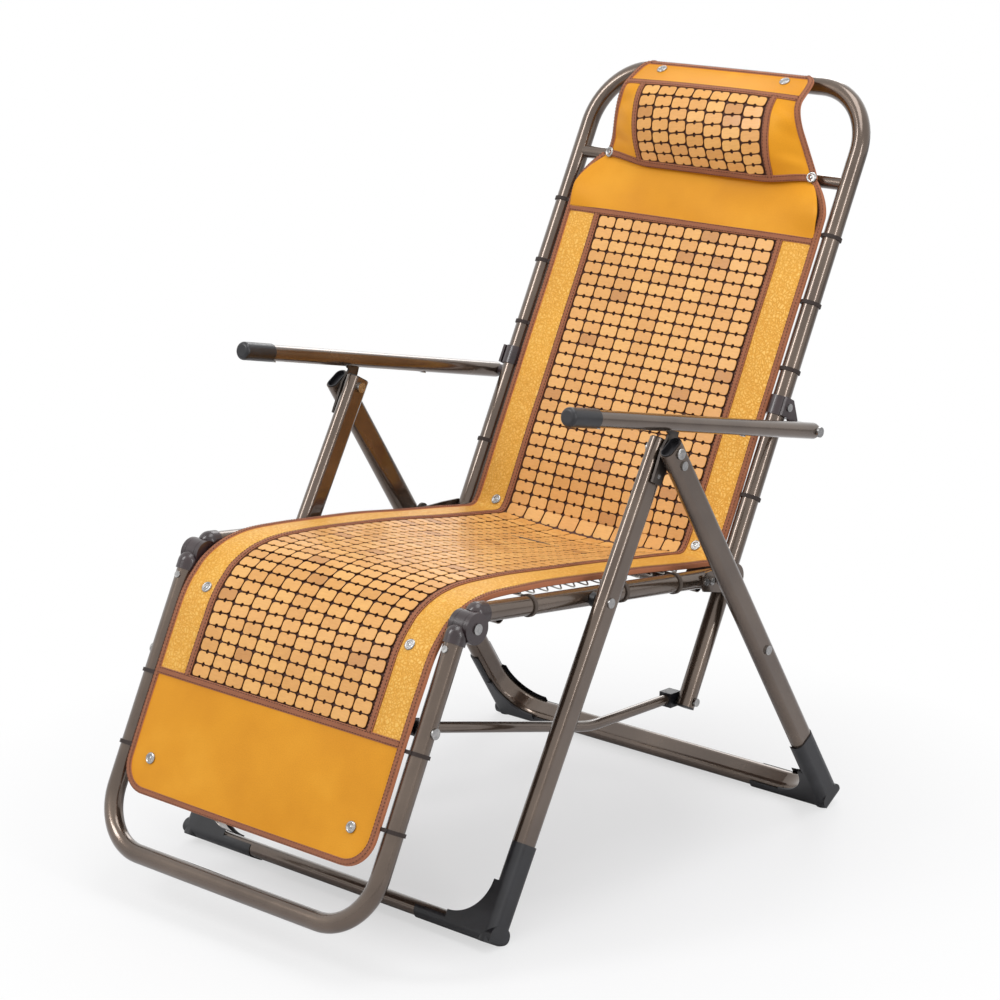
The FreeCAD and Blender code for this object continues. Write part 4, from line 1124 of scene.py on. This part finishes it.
# The mat's pieces are baked in place; the pillow's pieces ride on the back body, and the lacing on the seat
# body
for section in SECTIONS:
    for piece, slot in (
        (section.tiles, "bamboo"),
        (section.backing, "brown_webbing"),
        (section.strips, "golden_leather"),
        (section.binding, "brown_webbing"),
        (section.threads, "brown_webbing"),
    ):
        section.fit(piece, slot)
leg_section, seat_section, back_section = SECTIONS[0], SECTIONS[1], SECTIONS[3]
leg_section.fit(foot_band_piece, "golden_leather")
leg_section.fit(snap_leg, "steel")
back_section.fit(neck_band_piece, "golden_leather")
back_section.fit(snap_back, "steel")
for piece, slot in (
    (pillow_body, "golden_leather"),
    (pillow_tiles_piece, "bamboo"),
    (pillow_backing, "brown_webbing"),
    (pillow_flanks, "golden_leather"),
    (pillow_top_band, "golden_leather"),
    (pillow_binding, "brown_webbing"),
    (pillow_threads, "brown_webbing"),
):
    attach(piece, "back")
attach(lacing_piece, "seat")
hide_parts("leg_rest_mat")
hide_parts("seat_mat")
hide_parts("back_mat")
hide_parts("head_pillow")

# Floor, light and camera
floor_mesh = bpy.data.meshes.new("floor")
FLOOR_REACH = 40.0
corners = [(x * FLOOR_REACH, y * FLOOR_REACH, 0) for x, y in ((-1, -1), (1, -1), (1, 1), (-1, 1))]
floor_mesh.from_pydata(corners, [], [(0, 1, 2, 3)])
floor = bpy.data.objects.new("floor", floor_mesh)
bpy.context.scene.collection.objects.link(floor)
floor_material, tree, bsdf = material("pale_floor", (0.86, 0.86, 0.88), 0.6)
bsdf.inputs["Specular IOR Level"].default_value = 0.2
paths = node(tree, "ShaderNodeLightPath")
output = tree.nodes["Material Output"]
white = node(tree, "ShaderNodeEmission")
white.inputs["Color"].default_value = (1.0, 1.0, 1.0, 1.0)
blend_in = node(tree, "ShaderNodeMixShader")
distance = node(tree, "ShaderNodeVectorMath", operation="LENGTH")
tree.links.new(coords(tree, False), distance.inputs[0])
FADE_FROM = 0.25
FADE_TO = 0.85
FADE_LEAST = 0.5
fade = span(tree, distance.outputs["Value"], FADE_FROM, FADE_TO, FADE_LEAST, 1.0)
only_seen = node(tree, "ShaderNodeMath", operation="MULTIPLY")
tree.links.new(fade, only_seen.inputs[0])
tree.links.new(paths.outputs["Is Camera Ray"], only_seen.inputs[1])
tree.links.new(only_seen.outputs[0], blend_in.inputs["Fac"])
tree.links.new(bsdf.outputs["BSDF"], blend_in.inputs[1])
tree.links.new(white.outputs["Emission"], blend_in.inputs[2])
tree.links.new(blend_in.outputs["Shader"], output.inputs["Surface"])
cloud = noise(tree, coords(tree, False), 1.5, 2.0)
floor_colour = ramp(tree, cloud, [(0.3, (0.85, 0.85, 0.87)), (0.7, (0.87, 0.87, 0.885))])
tree.links.new(floor_colour, bsdf.inputs["Base Color"])
floor_mesh.materials.append(floor_material)

world = bpy.data.worlds.new("studio")
bpy.context.scene.world = world
world.use_nodes = True
tree = world.node_tree
background = tree.nodes["Background"]
background.inputs["Color"].default_value = (1.0, 1.0, 1.0, 1.0)
paths = node(tree, "ShaderNodeLightPath")
direct = node(tree, "ShaderNodeMath", operation="MAXIMUM")
tree.links.new(paths.outputs["Is Camera Ray"], direct.inputs[0])
tree.links.new(paths.outputs["Is Transmission Ray"], direct.inputs[1])
seen = node(tree, "ShaderNodeMath", operation="MAXIMUM")
tree.links.new(direct.outputs[0], seen.inputs[0])
tree.links.new(paths.outputs["Is Glossy Ray"], seen.inputs[1])
AMBIENT = 0.45
level = span(tree, seen.outputs[0], 0.0, 1.0, AMBIENT, 1.0)
tree.links.new(level, background.inputs["Strength"])


def area(name, place, aim, size, power):
    data = bpy.data.lights.new(name, "AREA")
    data.shape = "RECTANGLE"
    data.size, data.size_y = size
    data.energy = power
    lamp = bpy.data.objects.new(name, data)
    bpy.context.scene.collection.objects.link(lamp)
    lamp.location = place
    lamp.rotation_euler = (Vector(aim) - Vector(place)).to_track_quat("-Z", "Y").to_euler()


area("key", (-1.6, -2.6, 3.0), (0.0, 0.0, 0.5), (0.8, 1.8), 50.0)
area("top", (0.4, 0.2, 3.2), (0.0, 0.0, 0.4), (2.2, 1.2), 30.0)
area("side", (3.2, -0.4, 1.8), (0.0, 0.0, 0.5), (0.35, 2.2), 26.0)
area("rear", (-1.5, 2.6, 2.2), (0.0, 0.0, 0.6), (1.2, 1.6), 18.0)

CAMERA_AT = (2.5070, -2.8007, 1.4909)
AZIMUTH = math.radians(41.87)
ELEVATION = math.radians(15.64)
ROLL = math.radians(-0.22)
level = math.cos(ELEVATION)
toward = Vector((math.sin(AZIMUTH) * level, -math.cos(AZIMUTH) * level, math.sin(ELEVATION)))
right = Vector((math.cos(AZIMUTH), math.sin(AZIMUTH), 0.0))
up = toward.cross(right)
c, s = math.cos(ROLL), math.sin(ROLL)
right, up = right * c + up * s, up * c - right * s
turn = Matrix((right, up, toward)).transposed()
lens = bpy.data.cameras.new("camera")
lens.sensor_width = 36.0
lens.lens = 105.32
lens.shift_x = 0.0038
lens.shift_y = 0.0162
camera = bpy.data.objects.new("camera", lens)
bpy.context.scene.collection.objects.link(camera)
camera.matrix_world = Matrix.Translation(CAMERA_AT) @ turn.to_4x4()
bpy.context.scene.camera = camera
bpy.context.scene.view_settings.view_transform = "Standard"
